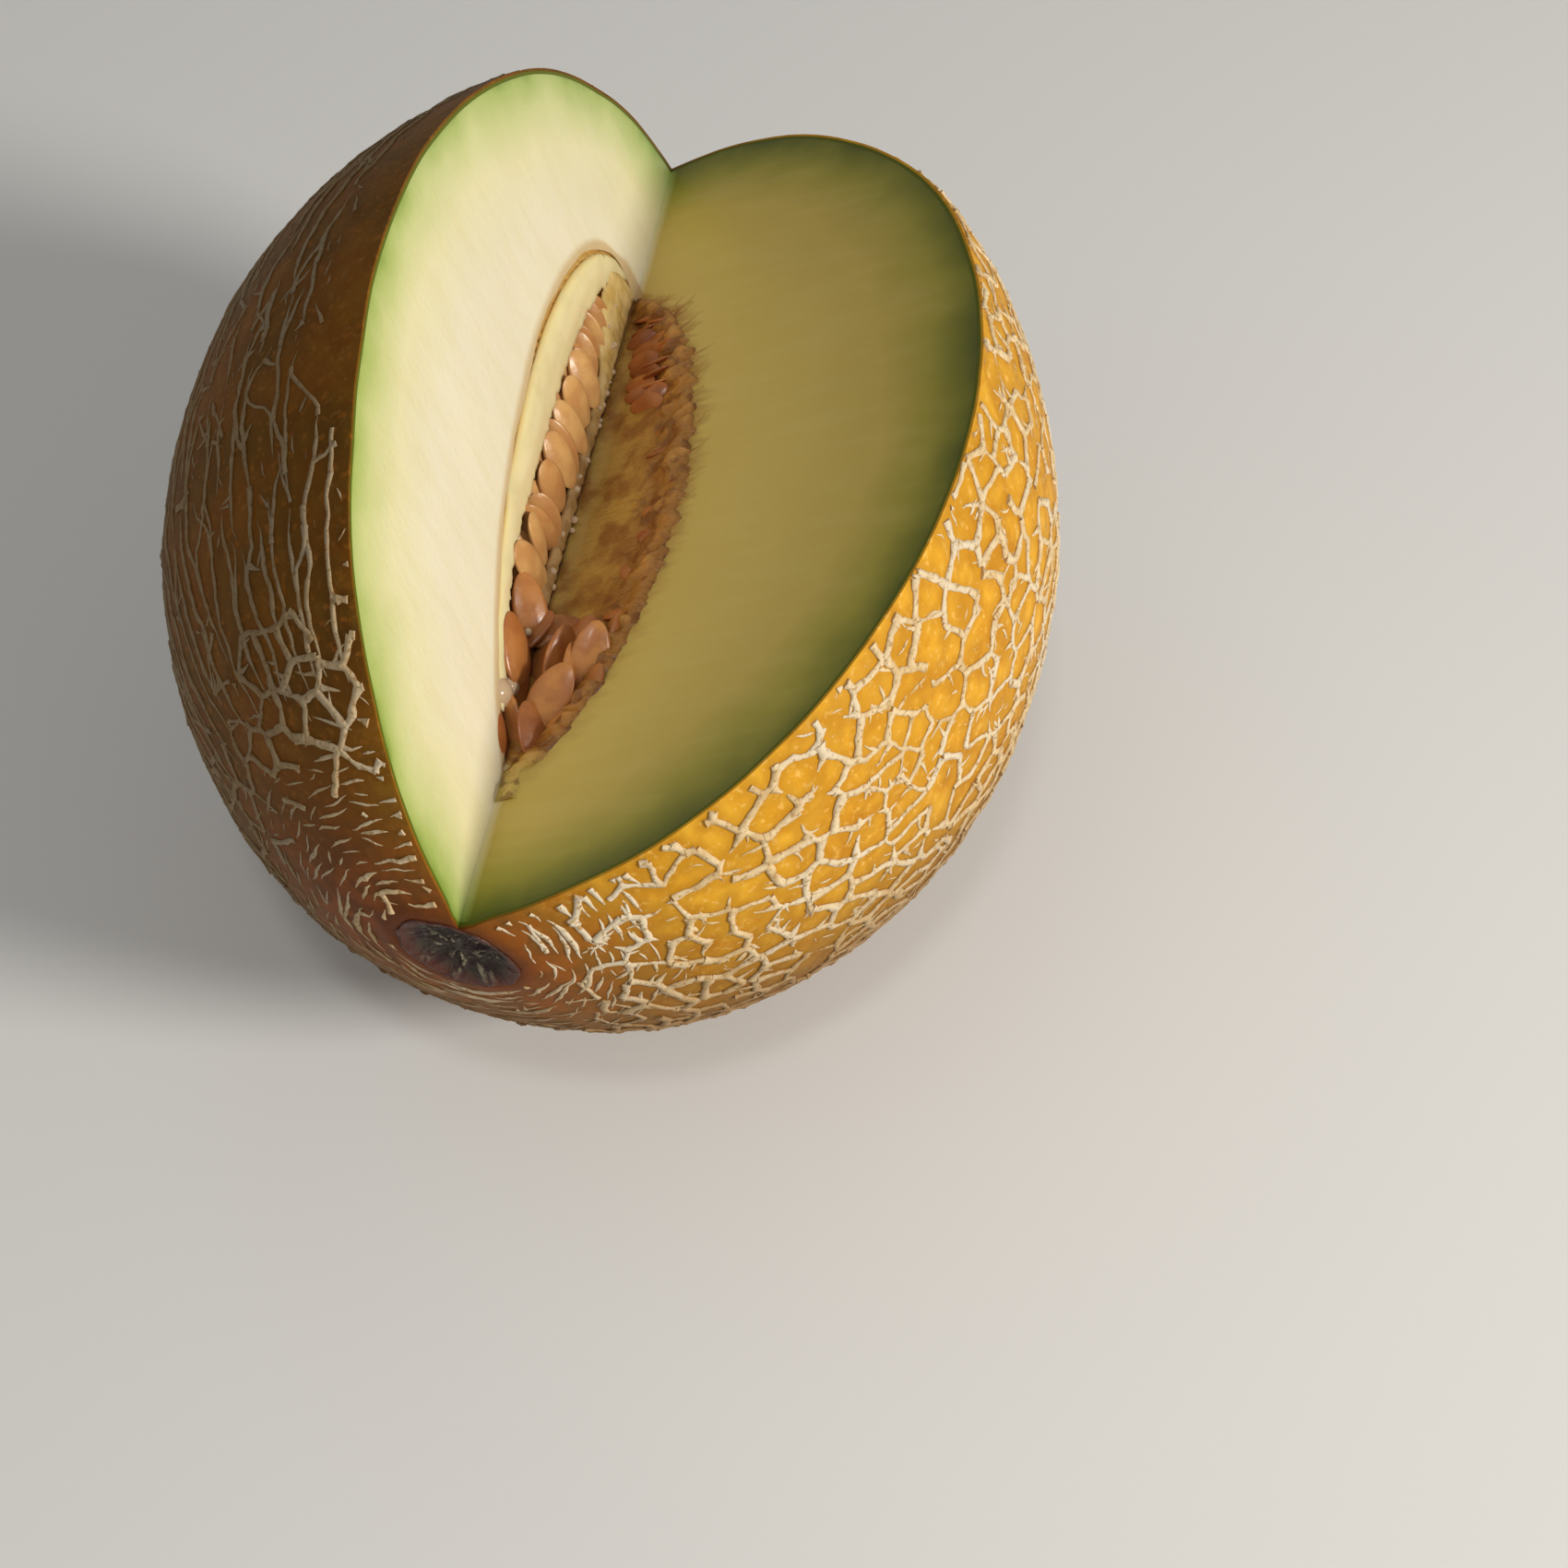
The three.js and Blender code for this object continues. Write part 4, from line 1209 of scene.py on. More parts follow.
pale = Finish("flesh", 0.42, Specular_IOR_Level=0.4, Subsurface_Weight=0.12, Subsurface_Scale=0.004)
pale.shader.inputs["Subsurface Radius"].default_value = (1.0, 0.75, 0.35)
drift = pale.span(pale.grain(14.0, 0.2), 0.3, 0.7, -1.6, 1.6)
uneven_depth = pale.math("ADD", pale.attribute("depth"), drift)
inner = pale.math("DIVIDE", uneven_depth, 40.0)
left_flesh = pale.ramp(
    inner,
    (0.0, srgb(130, 154, 62)),
    (0.05, srgb(172, 188, 104)),
    (0.15, srgb(208, 212, 146)),
    (0.32, srgb(236, 229, 184)),
    (0.6, srgb(243, 235, 208)),
)
# Olive tones for the flesh of the right-hand cut: painted shade over the same cream flesh as the left cut.
shaded_right_flesh = pale.ramp(
    inner,
    (0.0, srgb(88, 94, 24)),
    (0.06, srgb(118, 120, 34)),
    (0.2, srgb(166, 156, 60)),
    (0.42, srgb(202, 178, 90)),
    (0.75, srgb(208, 184, 100)),
)
colour = pale.mix(pale.attribute("right_side"), left_flesh, shaded_right_flesh)
streaks = pale.span(pale.fibres(0.32, 0.06), 0.4, 0.7, 0.0, 0.14)
colour = pale.mix(pale.math("MULTIPLY", streaks, pale.span(inner, 0.06, 0.3)), colour, srgb(220, 204, 136))
border = pale.attribute("from_cavity")
fringe = pale.math("ADD", border, pale.span(pale.fibres(0.6, 0.14), 0.3, 0.7, -1.6, 1.6))
left_side = pale.math("SUBTRACT", 1.0, pale.attribute("right_side"))
far_end = pale.span(pale.attribute("along"), -34, 6, 0.3, 0.85)
right_bruise = pale.math("MULTIPLY", pale.span(fringe, 4.4, -1.6), far_end)
right_bruise = pale.math("MULTIPLY", right_bruise, pale.attribute("right_side"))
left_bruise = pale.math("MULTIPLY", pale.span(border, 2.2, 0.3, 0.0, 0.6), left_side)
colour = pale.mix(right_bruise, colour, srgb(158, 108, 44))
colour = pale.mix(left_bruise, colour, srgb(196, 152, 78))
pale.set("Base Color", colour)
pale.bump(pale.math("ADD", pale.fibres(0.7, 0.2), pale.grain(1.2, 0.4)), 0.2, 0.3)
flesh.data.materials.clear()
flesh.data.materials.append(pale.material)
print("flesh:", len(pale.tree.nodes), "nodes")

# %% [markdown]
# At the near end the stalk has left a sunken scar of dark cork, wider than high and tilted. Its floor is
# folded into ridges that run from its middle outwards. The far end has a much smaller and shallower scar.
# Both are thin closed lenses that lie in the dishes of the skin. The helper that makes them turns a row of
# rings into a closed body, and later pieces use it too.
# %% The two scars
def loft(name, rings, tips, attributes=None):
    """A closed body through rings with equally many points, closed by a point at either end."""
    rings = np.asarray(rings, float)
    count, around = rings.shape[:2]
    index = np.arange(count * around).reshape(count, around)
    across = np.roll(index, -1, axis=1)
    quads = np.stack([index[:-1], index[1:], across[1:], across[:-1]], 2).reshape(-1, 4).tolist()
    quads += [(b, a, count * around) for a, b in zip(index[0], across[0])]
    quads += [(a, b, count * around + 1) for a, b in zip(index[-1], across[-1])]
    body = make_mesh(name, np.concatenate([rings.reshape(-1, 3), tips]), quads, attributes)
    face_outwards(body.data)
    return body


def scar_piece(name, scar, outward, folds, seed):
    turns = np.linspace(0, 2 * np.pi, 150, endpoint=False)
    shares = [*np.linspace(0.03, 1.04, 26), *np.linspace(1.0, 0.03, 7)]
    rings, marks = [], []
    cosine, sine = math.cos(scar["tilt"]), math.sin(scar["tilt"])
    for k, share in enumerate(shares):
        under = k >= 26
        swing = [noise.noise((math.cos(t) * 2.2, math.sin(t) * 2.2, seed)) for t in turns]
        ragged = 1 + 0.1 * np.array(swing)
        wide = share * ragged * np.cos(turns) * scar["half_width"]
        high = share * ragged * np.sin(turns) * scar["half_height"]
        x, z = scar["x"] + wide * cosine - high * sine, scar["z"] + wide * sine + high * cosine
        y = np.full_like(x, outward * BODY_HALF_LENGTH)
        unit = np.stack([x / BODY_RADIUS, np.zeros_like(x), z / BODY_RADIUS], 1)
        unit[:, 1] = outward * np.sqrt(1 - (unit**2).sum(1))
        fold = np.array([noise.noise((t * folds / 6.28, share * 1.6, seed)) for t in turns])
        bumps = np.array([noise.noise((a * 1.0, b * 1.0, seed + 5)) for a, b in zip(wide, high)])
        rough = np.array([noise.noise((a * 2.1, b * 2.1, seed + 9)) for a, b in zip(wide, high)])
        height = (0.9 * fold + 0.8 * bumps + 0.7 * rough) * min(1.0, share * 3) * (1.08 - share) ** 0.5
        height += 0.45 * (1.04 - share)
        lift = -0.7 if under else 0.22 + np.maximum(height, -0.1) * (share < 1.02)
        plain, _ = skin_point(unit)
        ring, _ = skin_point(unit, skin_relief(plain) + lift)
        rings.append(ring)
        marks.append(np.full(len(turns), -1.0) if under else fold + 0.5 * bumps + 0.6 * rough)
    tips = [rings[0].mean(0), rings[-1].mean(0)]
    marks = np.concatenate(marks + [[0.0, 0.0]])
    shares = np.concatenate([np.repeat(shares, len(turns)), [0.0, 0.0]])
    return loft(name, rings, tips, {"fold": marks, "share": shares})


near_scar = scar_piece("scar_near", NEAR_SCAR, -1, 26, 3.0)
far_scar = scar_piece("scar_far", FAR_SCAR, 1, 11, 8.0)
scar_finish = Finish("scar_cork", 0.46, Specular_IOR_Level=0.45)
dark = scar_finish.mix(scar_finish.blotches(2.4, 0.5, 0.12), srgb(54, 30, 26), srgb(66, 56, 44))
light = scar_finish.mix(scar_finish.blotches(1.2, 0.5, 0.2), srgb(152, 142, 116), srgb(104, 98, 76))
colour = scar_finish.mix(scar_finish.span(scar_finish.attribute("fold"), 0.28, 0.62), dark, light)
rim = scar_finish.span(scar_finish.attribute("share"), 0.72, 1.0)
scar_finish.set("Base Color", scar_finish.mix(rim, colour, srgb(84, 40, 26)))
scar_finish.bump(scar_finish.grain(0.6, 0.5), 0.25, 0.8)
for scar in (near_scar, far_scar):
    scar.data.materials.append(scar_finish.material)
print("scars:", len(near_scar.data.polygons) + len(far_scar.data.polygons), "faces")

# %% [markdown]
# The pulp fills the seed cavity and is cut flush with the flesh. On the left its border is a narrow groove,
# and the row of seeds lies in a shallow bed. On the right it is fibrous, with folds that run out to a
# toothed border.
# %% The pulp
PULP_STATIONS = 250
PULP_HALF = 56
PULP_BACK = 28


def pulp_height(y, away, reach, right):
    """Height of the pulp over the cut face, in millimetres, negative inside the fruit."""
    from_border = reach - away
    edge_fade = smoothstep(0.0, 3.0, away)
    if right:
        slanted = y - 0.45 * away * smoothstep(-25, 10, y)
        lumps = np.array([abs(noise.noise((a * 0.32, b * 0.13, 9.0))) for a, b in zip(slanted, away)])
        fibres = np.array([noise.noise((a * 1.0, b * 0.25, 3.0)) for a, b in zip(slanted, away)])
        row = np.exp(-(((from_border - 4.0) / 4.6) ** 2)) * smoothstep(0.0, 1.4, from_border)
        rim = 0.2 * smoothstep(0.3, 1.0, from_border) - 1.1 * smoothstep(2.5, 8.0, from_border)
        sunk = 0.3 * (1 - smoothstep(0.0, 0.6, from_border))
        return edge_fade * (rim + (1.9 * lumps + 0.7 * fibres) * row) - sunk
    groove = -0.55 * np.exp(-(((from_border - 0.5) / 0.6) ** 2))
    fibres = np.array([noise.noise((a * 0.9, b * 0.14, 3.0)) for a, b in zip(y, away)])
    bed = -1.5 * smoothstep(1.5, 4.0, away) * smoothstep(0.8, 3.2, from_border)
    bed *= (0.3 + 0.7 * smoothstep(-46, -36, y)) * smoothstep(41, 35, y)
    return groove + bed + 0.35 * fibres * edge_fade - 0.25


shares = np.linspace(0, 1, PULP_HALF + 1)
stations = np.sin(np.linspace(-0.497, 0.497, PULP_STATIONS) * np.pi)
rings, from_border, right_side, relief = [], [], [], []
for station in stations:
    y = station * (CAVITY_NEAR if station < 0 else CAVITY_FAR)
    line = np.full(PULP_HALF + 1, y)
    sides = []
    for face, right in ((LEFT, False), (RIGHT, True)):
        lobes = 0.0
        if right:
            lobes = 0.7 + 1.9 * noise.noise((y * 0.42, 0, 2)) + 1.0 * noise.noise((y * 1.3, 0, 5))
        reach = float(cavity_reach(face, y))
        reach += 0.25 + min(2.4, max(0.0, lobes)) * min(1.0, reach / 14)
        away = reach * shares
        height = pulp_height(line, away, reach, right) * min(1.0, reach / 6) + cut_wave(face, line, away)
        sides.append((on_face(face, line, away, height), reach - away, height))
    middle = edge_point(y) + TO_THE_LEFT * (CAVITY_SHIFT + CAVITY_LEAN * y)
    start = sides[1][0][-1] - middle
    stop = sides[0][0][-1] - middle
    low, high = math.atan2(start[2], start[0]), math.atan2(stop[2], stop[0]) - 2 * math.pi
    turns = np.linspace(low, high, PULP_BACK + 2)[1:-1]
    radius = max(0.2, float(cavity_radius(y)) - 0.6)
    back = middle + np.stack([np.cos(turns), np.zeros(PULP_BACK), np.sin(turns)], 1) * radius
    rings.append(np.concatenate([sides[0][0][::-1], sides[1][0][1:], back]))
    from_border.append(np.concatenate([sides[0][1][::-1], sides[1][1][1:], np.full(PULP_BACK, 20.0)]))
    right_side.append(np.concatenate([np.zeros(PULP_HALF + 1), np.ones(PULP_HALF + PULP_BACK)]))
    relief.append(np.concatenate([sides[0][2][::-1], sides[1][2][1:], np.zeros(PULP_BACK)]))
marks = {
    "from_border": np.concatenate([np.ravel(from_border), [0.0, 0.0]]),
    "right_side": np.concatenate([np.ravel(right_side), [1.0, 1.0]]),
    "relief": np.concatenate([np.ravel(relief), [0.0, 0.0]]),
}
pulp = loft("pulp", rings, [rings[0].mean(0), rings[-1].mean(0)], marks)
pulp_places = mesh_points(pulp.data)
store(pulp.data, "along", pulp_places[:, 1])
store(pulp.data, "from_cavity", marks["from_border"])
smooth_by_angle(pulp, 50)
print("pulp:", len(pulp.data.vertices), "vertices", len(pulp.data.polygons), "faces")

wet = Finish("pulp", 0.3, Specular_IOR_Level=0.5, Subsurface_Weight=0.15, Subsurface_Scale=0.003)
border = wet.attribute("from_border")
right_tone = wet.ramp(
    wet.math("DIVIDE", border, 20.0),
    (0.0, srgb(164, 112, 48)),
    (0.14, srgb(182, 122, 52)),
    (0.38, srgb(188, 134, 60)),
    (0.6, srgb(204, 160, 76)),
    (1.0, srgb(206, 168, 88)),
)
near_border = wet.math("MULTIPLY", wet.span(border, 11, 5), wet.span(border, 0.8, 3.0, 0.0, 0.65))
# Darker in the hollows between the folds, partly the pulp's own reddish colour and partly painted shade;
# lighter on the raised folds, painted highlight.
creases_and_shade = wet.math("MULTIPLY", wet.span(wet.attribute("relief"), 0.1, -0.9), near_border)
right_tone = wet.mix(creases_and_shade, right_tone, srgb(104, 52, 20))
crests_and_highlight = wet.span(wet.attribute("relief"), 0.1, 1.1, 0.0, 0.7)
right_tone = wet.mix(crests_and_highlight, right_tone, srgb(208, 154, 78))
right_tone = wet.mix(wet.blotches(6.0, 0.5, 0.12), right_tone, srgb(164, 112, 50))
right_tone = wet.mix(wet.span(wet.attribute("along"), -50, -57), right_tone, srgb(204, 178, 94))
spots = wet.math("MULTIPLY", wet.blotches(2.8, 0.54, 0.06), wet.span(border, 14, 7))
right_tone = wet.mix(wet.math("MULTIPLY", spots, 0.6), right_tone, srgb(104, 50, 18))
left_tone = wet.mix(wet.blotches(4.0, 0.5, 0.1), srgb(140, 82, 42), srgb(104, 56, 30))
left_tone = wet.mix(wet.span(wet.attribute("along"), 16, 32), left_tone, srgb(206, 160, 88))
left_tone = wet.mix(wet.span(border, 1.9, 0.7), left_tone, srgb(204, 162, 88))
wet.set("Base Color", wet.mix(wet.attribute("right_side"), left_tone, right_tone))
wet.bump(wet.math("ADD", wet.fibres(1.8, 0.3), wet.grain(1.0, 0.3)), 0.4, 0.6)
pulp.data.materials.append(wet.material)

# %% [markdown]
# A pale membrane lies along the left border of the cavity, a ribbon of about 7 mm that narrows to both
# ends. It is the torn wall of the cavity. Its inner edge is slightly jagged, where the seeds are tucked
# under it.
# %% The membrane strip
STRIP_STATIONS = 220
STRIP_WIDTHS = (
    (-46, 1.0), (-42, 2.6), (-29, 4.0), (-21, 5.2), (-12, 6.8), (0, 8.0),
    (14, 8.6), (26, 7.9), (36, 7.0), (42, 6.2), (47, 4.2),
)
STRIP_THICKNESS = 1.1
STRIP_PROFILE = 13

ys = np.linspace(-46.0, 46.5, STRIP_STATIONS)
strip_width = np.interp(ys, *zip(*STRIP_WIDTHS))
jag = np.array([0.55 * noise.noise((y * 0.55, 0, 4)) + 0.4 * noise.noise((y * 1.7, 0, 4)) for y in ys])
profile = np.linspace(0, 1, STRIP_PROFILE)
rings, inward = [], []
for y, width, tooth in zip(ys, strip_width, jag):
    outer = float(cavity_reach(LEFT, y)) - 1.0
    away = outer - profile * (width + tooth)
    ripple = np.array([noise.noise((y * 0.1, a * 0.4, 6)) for a in away])
    top = -0.2 + 0.36 * np.sin(np.pi * profile) ** 0.6 + 0.3 * ripple
    bottom = top - STRIP_THICKNESS * np.sin(np.pi * (0.12 + 0.76 * profile))
    line = np.full(STRIP_PROFILE, y)
    wave = cut_wave(LEFT, line, away)
    upper = on_face(LEFT, line, away, top + wave)
    lower = on_face(LEFT, line, away, bottom + wave)
    rings.append(np.concatenate([upper, lower[::-1]]))
    inward.append(np.concatenate([profile, profile[::-1]]))
inward = np.concatenate([np.ravel(inward), [0.5, 0.5]])
strip = loft("membrane", rings, [rings[0].mean(0), rings[-1].mean(0)], {"inward": inward})
wall = Finish("membrane", 0.38, Specular_IOR_Level=0.45, Subsurface_Weight=0.2, Subsurface_Scale=0.003)
tone = wall.ramp(
    wall.attribute("inward"),
    (0.0, srgb(230, 194, 118)),
    (0.14, srgb(246, 228, 172)),
    (0.45, srgb(240, 223, 176)),
    (1.0, srgb(220, 198, 148)),
)
wall.set("Base Color", wall.mix(wall.blotches(6.0, 0.6, 0.2), tone, srgb(228, 210, 160)))
wall.bump(wall.grain(2.0, 0.1), 0.2, 0.4)
strip.data.materials.append(wall.material)
print("membrane:", len(strip.data.polygons), "faces")

# %% [markdown]
# Melon seeds are flat teardrops with a soft rim. One seed is made, and a Geometry Nodes tree sets a copy on
# every point of a small cloud of points, turned and scaled by attributes that each point carries. On the
# left cut they lie like roof tiles with their tips towards the edge line. On the right they are half sunk
# in the pulp, and at the near end a loose bunch stands up out of the pulp and faces the near end of the
# fruit.
# %% One seed and the way seeds are set
SEED_LENGTH = 10.4
SEED_WIDTH = 5.0
SEED_THICKNESS = 1.45
NEAR_VIEW = np.array([0.1554, -0.5922, 0.7907])
NEAR_UP = np.array([-0.2007, 0.7648, 0.6123])


def seed_template():
    turns = np.linspace(0, 2 * np.pi, 18, endpoint=False)
    rings = []
    for share in np.sin(np.linspace(0.02, 0.98, 16) * np.pi / 2 * 2 - np.pi / 2) * 0.5 + 0.5:
        width = 0.5 * SEED_WIDTH * (math.sin(math.pi * share**0.88) ** 0.48) * (1.02 - 0.1 * share)
        thick = 0.5 * SEED_THICKNESS * (math.sin(math.pi * share**0.9) ** 0.6)
        across, up = np.cos(turns), np.sin(turns)
        lens = np.sign(up) * np.abs(up) ** 0.6 * (1 - 0.25 * np.exp(-((np.abs(across) - 0.78) ** 2) / 0.01))
        rings.append(np.stack([width * across, np.full(18, (share - 0.5) * SEED_LENGTH), thick * lens], 1))
    tips = [(0, -0.5 * SEED_LENGTH, 0), (0, 0.5 * SEED_LENGTH, 0)]
    rings = np.array(rings) - (0, 0, BODY_HEIGHT)
    return loft("seed_shape", rings, np.array(tips) - (0, 0, BODY_HEIGHT))


def seed_turn(long, flat, roll=0.0, raise_by=0.0):
    """Euler angles that lay a seed with its tip along one direction and its flat side facing another."""
    long = np.asarray(long, float) / np.linalg.norm(long)
    flat = flat - long * (flat @ long)
    flat /= np.linalg.norm(flat)
    basis = Matrix(np.stack([np.cross(long, flat), long, flat], 1).tolist())
    spin = Matrix.Rotation(math.radians(roll), 3, "Y") @ Matrix.Rotation(math.radians(raise_by), 3, "X")
    return tuple((basis @ spin).to_euler())


def on_cut(face, y, away, height, heading, roll, raise_by, size=1.0):
    """A seed on a cut face. The heading turns its tip from the far end of the fruit towards the rind."""
    angle = math.radians(heading)
    long = math.cos(angle) * EDGE + math.sin(angle) * face[0]
    place = on_face(face, np.array(y, float), away, height)
    return place, seed_turn(long, face[1], roll, raise_by), size


def standing(face, y, away, height, lean, roll, raise_by, size=1.0):
    """A seed that stands up and faces the near end, with its tip leaning from upright by an angle."""
    angle = math.radians(lean)
    long = math.cos(angle) * NEAR_UP + math.sin(angle) * np.cross(NEAR_UP, NEAR_VIEW)
    place = on_face(face, np.array(y, float), away, height)
    return place, seed_turn(long, NEAR_VIEW, roll, raise_by), size


def seed_tree():
    tree = bpy.data.node_groups.new("set_seeds", "GeometryNodeTree")
    open_socket(tree, "Geometry", "NodeSocketGeometry")
    open_socket(tree, "Seed", "NodeSocketObject")
    open_socket(tree, "Material", "NodeSocketMaterial")
    open_socket(tree, "Geometry", "NodeSocketGeometry", "OUTPUT")
    start = add_node(tree, "NodeGroupInput").outputs
    spin = add_node(tree, "GeometryNodeInputNamedAttribute", {"data_type": "FLOAT_VECTOR"}, Name="spin")
    size = add_node(tree, "GeometryNodeInputNamedAttribute", {"data_type": "FLOAT_VECTOR"}, Name="size")
    rotation = add_node(tree, "FunctionNodeEulerToRotation", Euler=attribute_out(spin))
    seed = add_node(tree, "GeometryNodeObjectInfo", Object=start["Seed"])
    cloud = add_node(tree, "GeometryNodeMeshToPoints", Mesh=start["Geometry"])
    copies = add_node(
        tree,
        "GeometryNodeInstanceOnPoints",
        Points=cloud.outputs[0],
        Instance=seed.outputs["Geometry"],
        Rotation=rotation.outputs[0],
        Scale=attribute_out(size),
    )
    real = add_node(tree, "GeometryNodeRealizeInstances", Geometry=copies.outputs[0])
    painted = add_node(tree, "GeometryNodeSetMaterial", Geometry=real.outputs[0], Material=start["Material"])
    end = tree.nodes.new("NodeGroupOutput")
    tree.links.new(painted.outputs[0], end.inputs["Geometry"])
    return tree


def set_seeds(name, seeds, shape, material, random_seed, wide=1.0):
    """One piece with a copy of a shape at every place, turned and scaled as the list says."""
    chance = random.Random(random_seed)
    mesh = bpy.data.meshes.new(name)
    places = np.array([place for place, _, _ in seeds]).reshape(-1, 3)
    mesh.from_pydata((places + (0, 0, BODY_HEIGHT)) * MM, [], [])
    sizes = []
    for _, _, size in seeds:
        sizes.append((size * wide * chance.uniform(0.92, 1.08), size * chance.uniform(0.93, 1.05), size))
    store(mesh, "spin", np.array([spin for _, spin, _ in seeds]))
    store(mesh, "size", np.array(sizes))
    store(mesh, "tone", np.array([chance.random() for _ in seeds]))
    piece = bpy.data.objects.new(name, mesh)
    bpy.context.scene.collection.objects.link(piece)
    grow_with_nodes(piece, SEED_TREE, Seed=shape, Material=material)
    print(name, len(seeds), "seeds", len(piece.data.polygons), "faces")
    return piece


def seed_finish(name, light, dark, red):
    coat = Finish(name, 0.32, Specular_IOR_Level=0.5, Coat_Weight=0.25, Coat_Roughness=0.18)
    tone = coat.mix(coat.attribute("tone"), light, dark)
    tone = coat.mix(coat.math("MULTIPLY", coat.blotches(3.5, 0.5, 0.14), 0.45), tone, red)
    coat.set("Base Color", tone)
    coat.bump(coat.grain(0.9, 0.2), 0.15, 0.5)
    return coat.material


# %% [markdown]
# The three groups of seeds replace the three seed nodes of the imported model. The left row is the most
# visible one, so its rhythm and the tucked outer ends follow the real fruit closely. The deeper and darker
# seeds between the others fill the gaps.
# %% The seeds
seed_shape = seed_template()
SEED_TREE = seed_tree()
tan_seed = seed_finish("seed_tan", srgb(220, 172, 108), srgb(196, 144, 86), srgb(178, 112, 64))
bunch_seed = seed_finish("seed_bunch", srgb(206, 140, 74), srgb(172, 102, 50), srgb(142, 68, 32))
sunk_seed = seed_finish("seed_sunk", srgb(200, 122, 58), srgb(168, 94, 42), srgb(134, 62, 26))
chance = random.Random(23)

left_seeds = []
y = 34.0
while y > -24:
    narrow = max(0.0, -y) / 35
    edgewise = y > 19 or chance.random() < 0.3
    heading = -96 + 24 * narrow + chance.gauss(0, 6)
    roll = 60 + chance.gauss(0, 8) if edgewise else 15 + chance.gauss(0, 7)
    out = 8.2 - 1.6 * narrow + chance.gauss(0, 0.45)
    height = -1.2 if y > 21 else -0.5 if edgewise else 0.1
    size = 0.9 if y > 21 else 1.08
    left_seeds.append(on_cut(LEFT, y, out, height, heading, roll, chance.gauss(0, 4), size))
    y -= 2.5 if edgewise else chance.uniform(4.6, 6.0)
for i in range(14):
    y = 26 - 3.7 * i
    out = 8.4 - 2.0 * max(0.0, -y) / 35
    left_seeds.append(on_cut(LEFT, y, out, -1.7, -92 + chance.gauss(0, 9), 30, 0, 0.92))
right_seeds = []
for i in range(26):
    y = 38 - 2.75 * i
    reach = float(cavity_reach(RIGHT, y))
    away = reach - 2.9 - (1.8 if i % 2 else 0.0) + chance.gauss(0, 0.6)
    heading, roll = 66 + chance.gauss(0, 24), -16 + chance.gauss(0, 16)
    right_seeds.append(on_cut(RIGHT, y, away, -1.75, heading, roll, -6 + chance.gauss(0, 7), 0.8))
for i in range(17):
    y = 40 - 1.35 * i
    away = 5.0 + 0.15 * (41 - y) + (1.8 if i % 2 else -0.8) + chance.gauss(0, 0.6)
    heading = chance.choice((88, -92)) + chance.gauss(0, 13)
    roll = chance.gauss(-38, 14)
    right_seeds.append(on_cut(RIGHT, y, away, -0.25, heading, roll, chance.gauss(0, 8), 0.62))
cluster_seeds = [
    standing(RIGHT, -36.2, 12.0, 0.9, 12, 8, 4, 1.1),
    standing(RIGHT, -42.6, 6.8, 1.4, 32, -12, 8, 1.1),
    standing(RIGHT, -35.6, 6.6, 1.2, 10, 40, 0, 1.05),
    standing(RIGHT, -28.6, 2.8, 0.9, 80, -22, 0, 1.0),
    standing(RIGHT, -38.6, 9.2, 0.1, -8, 50, 6, 1.0),
    standing(RIGHT, -35.0, 2.2, -0.2, 24, -36, 0, 1.0),
    standing(LEFT, -36.0, 6.3, 0.5, -8, 54, 0, 1.05),
    standing(LEFT, -27.2, 6.2, 0.6, -12, 18, 0, 1.0),
    standing(LEFT, -30.4, 3.4, 0.0, 50, -34, 0, 0.9),
    standing(RIGHT, -47.8, 3.9, -0.1, -14, 34, 0, 0.95),
    standing(RIGHT, -45.5, 9.4, -1.0, 46, -40, 0, 0.95),
    standing(RIGHT, -41.6, 11.6, -1.0, 24, -50, 0, 0.95),
    standing(RIGHT, -31.5, 14.6, -1.3, 6, 52, 0, 0.85),
    standing(LEFT, -49.6, 4.0, -0.6, -6, 58, 0, 0.9),
    standing(LEFT, -40.5, 2.6, -0.4, 16, 38, 0, 0.95),
    standing(LEFT, -45.6, 2.2, -0.3, -12, -34, 0, 0.9),
    standing(RIGHT, -31.6, 8.4, 0.2, 30, -30, 0, 0.9),
]
seeds_left = set_seeds("seeds_left", left_seeds, seed_shape, tan_seed, 5)
seeds_right = set_seeds("seeds_right", right_seeds, seed_shape, sunk_seed, 6)
seeds_cluster = set_seeds("seeds_cluster", cluster_seeds, seed_shape, bunch_seed, 7, wide=1.18)
bpy.data.objects.remove(seed_shape)

# %% [markdown]
# Along the right border thin fibres of the pulp run out over the flesh and bend towards the far end. The
# same sweep that made the net makes them.
# %% Fibres
def strand(y, start_from_border, length, bend, height, width, steps=6):
    """A line out across the right border of the cavity, with its widths and upright directions."""
    share = np.linspace(0, 1, steps)
    ys = y + bend * share**1.4
    away = float(cavity_reach(RIGHT, y)) - start_from_border + length * share
    points = on_face(RIGHT, ys, away, height * (1 - share) ** 0.7 + cut_wave(RIGHT, ys, away))
    sway = np.array([0.4 * noise.noise((y * 3 + s * 2, s * 3, length)) for s in share])
    widths = width * (0.3 + 0.7 * np.sin(np.pi * (0.2 + 0.75 * share)))
    return points + sway[:, None] * EDGE, widths, np.repeat(RIGHT[1][None], steps, 0)


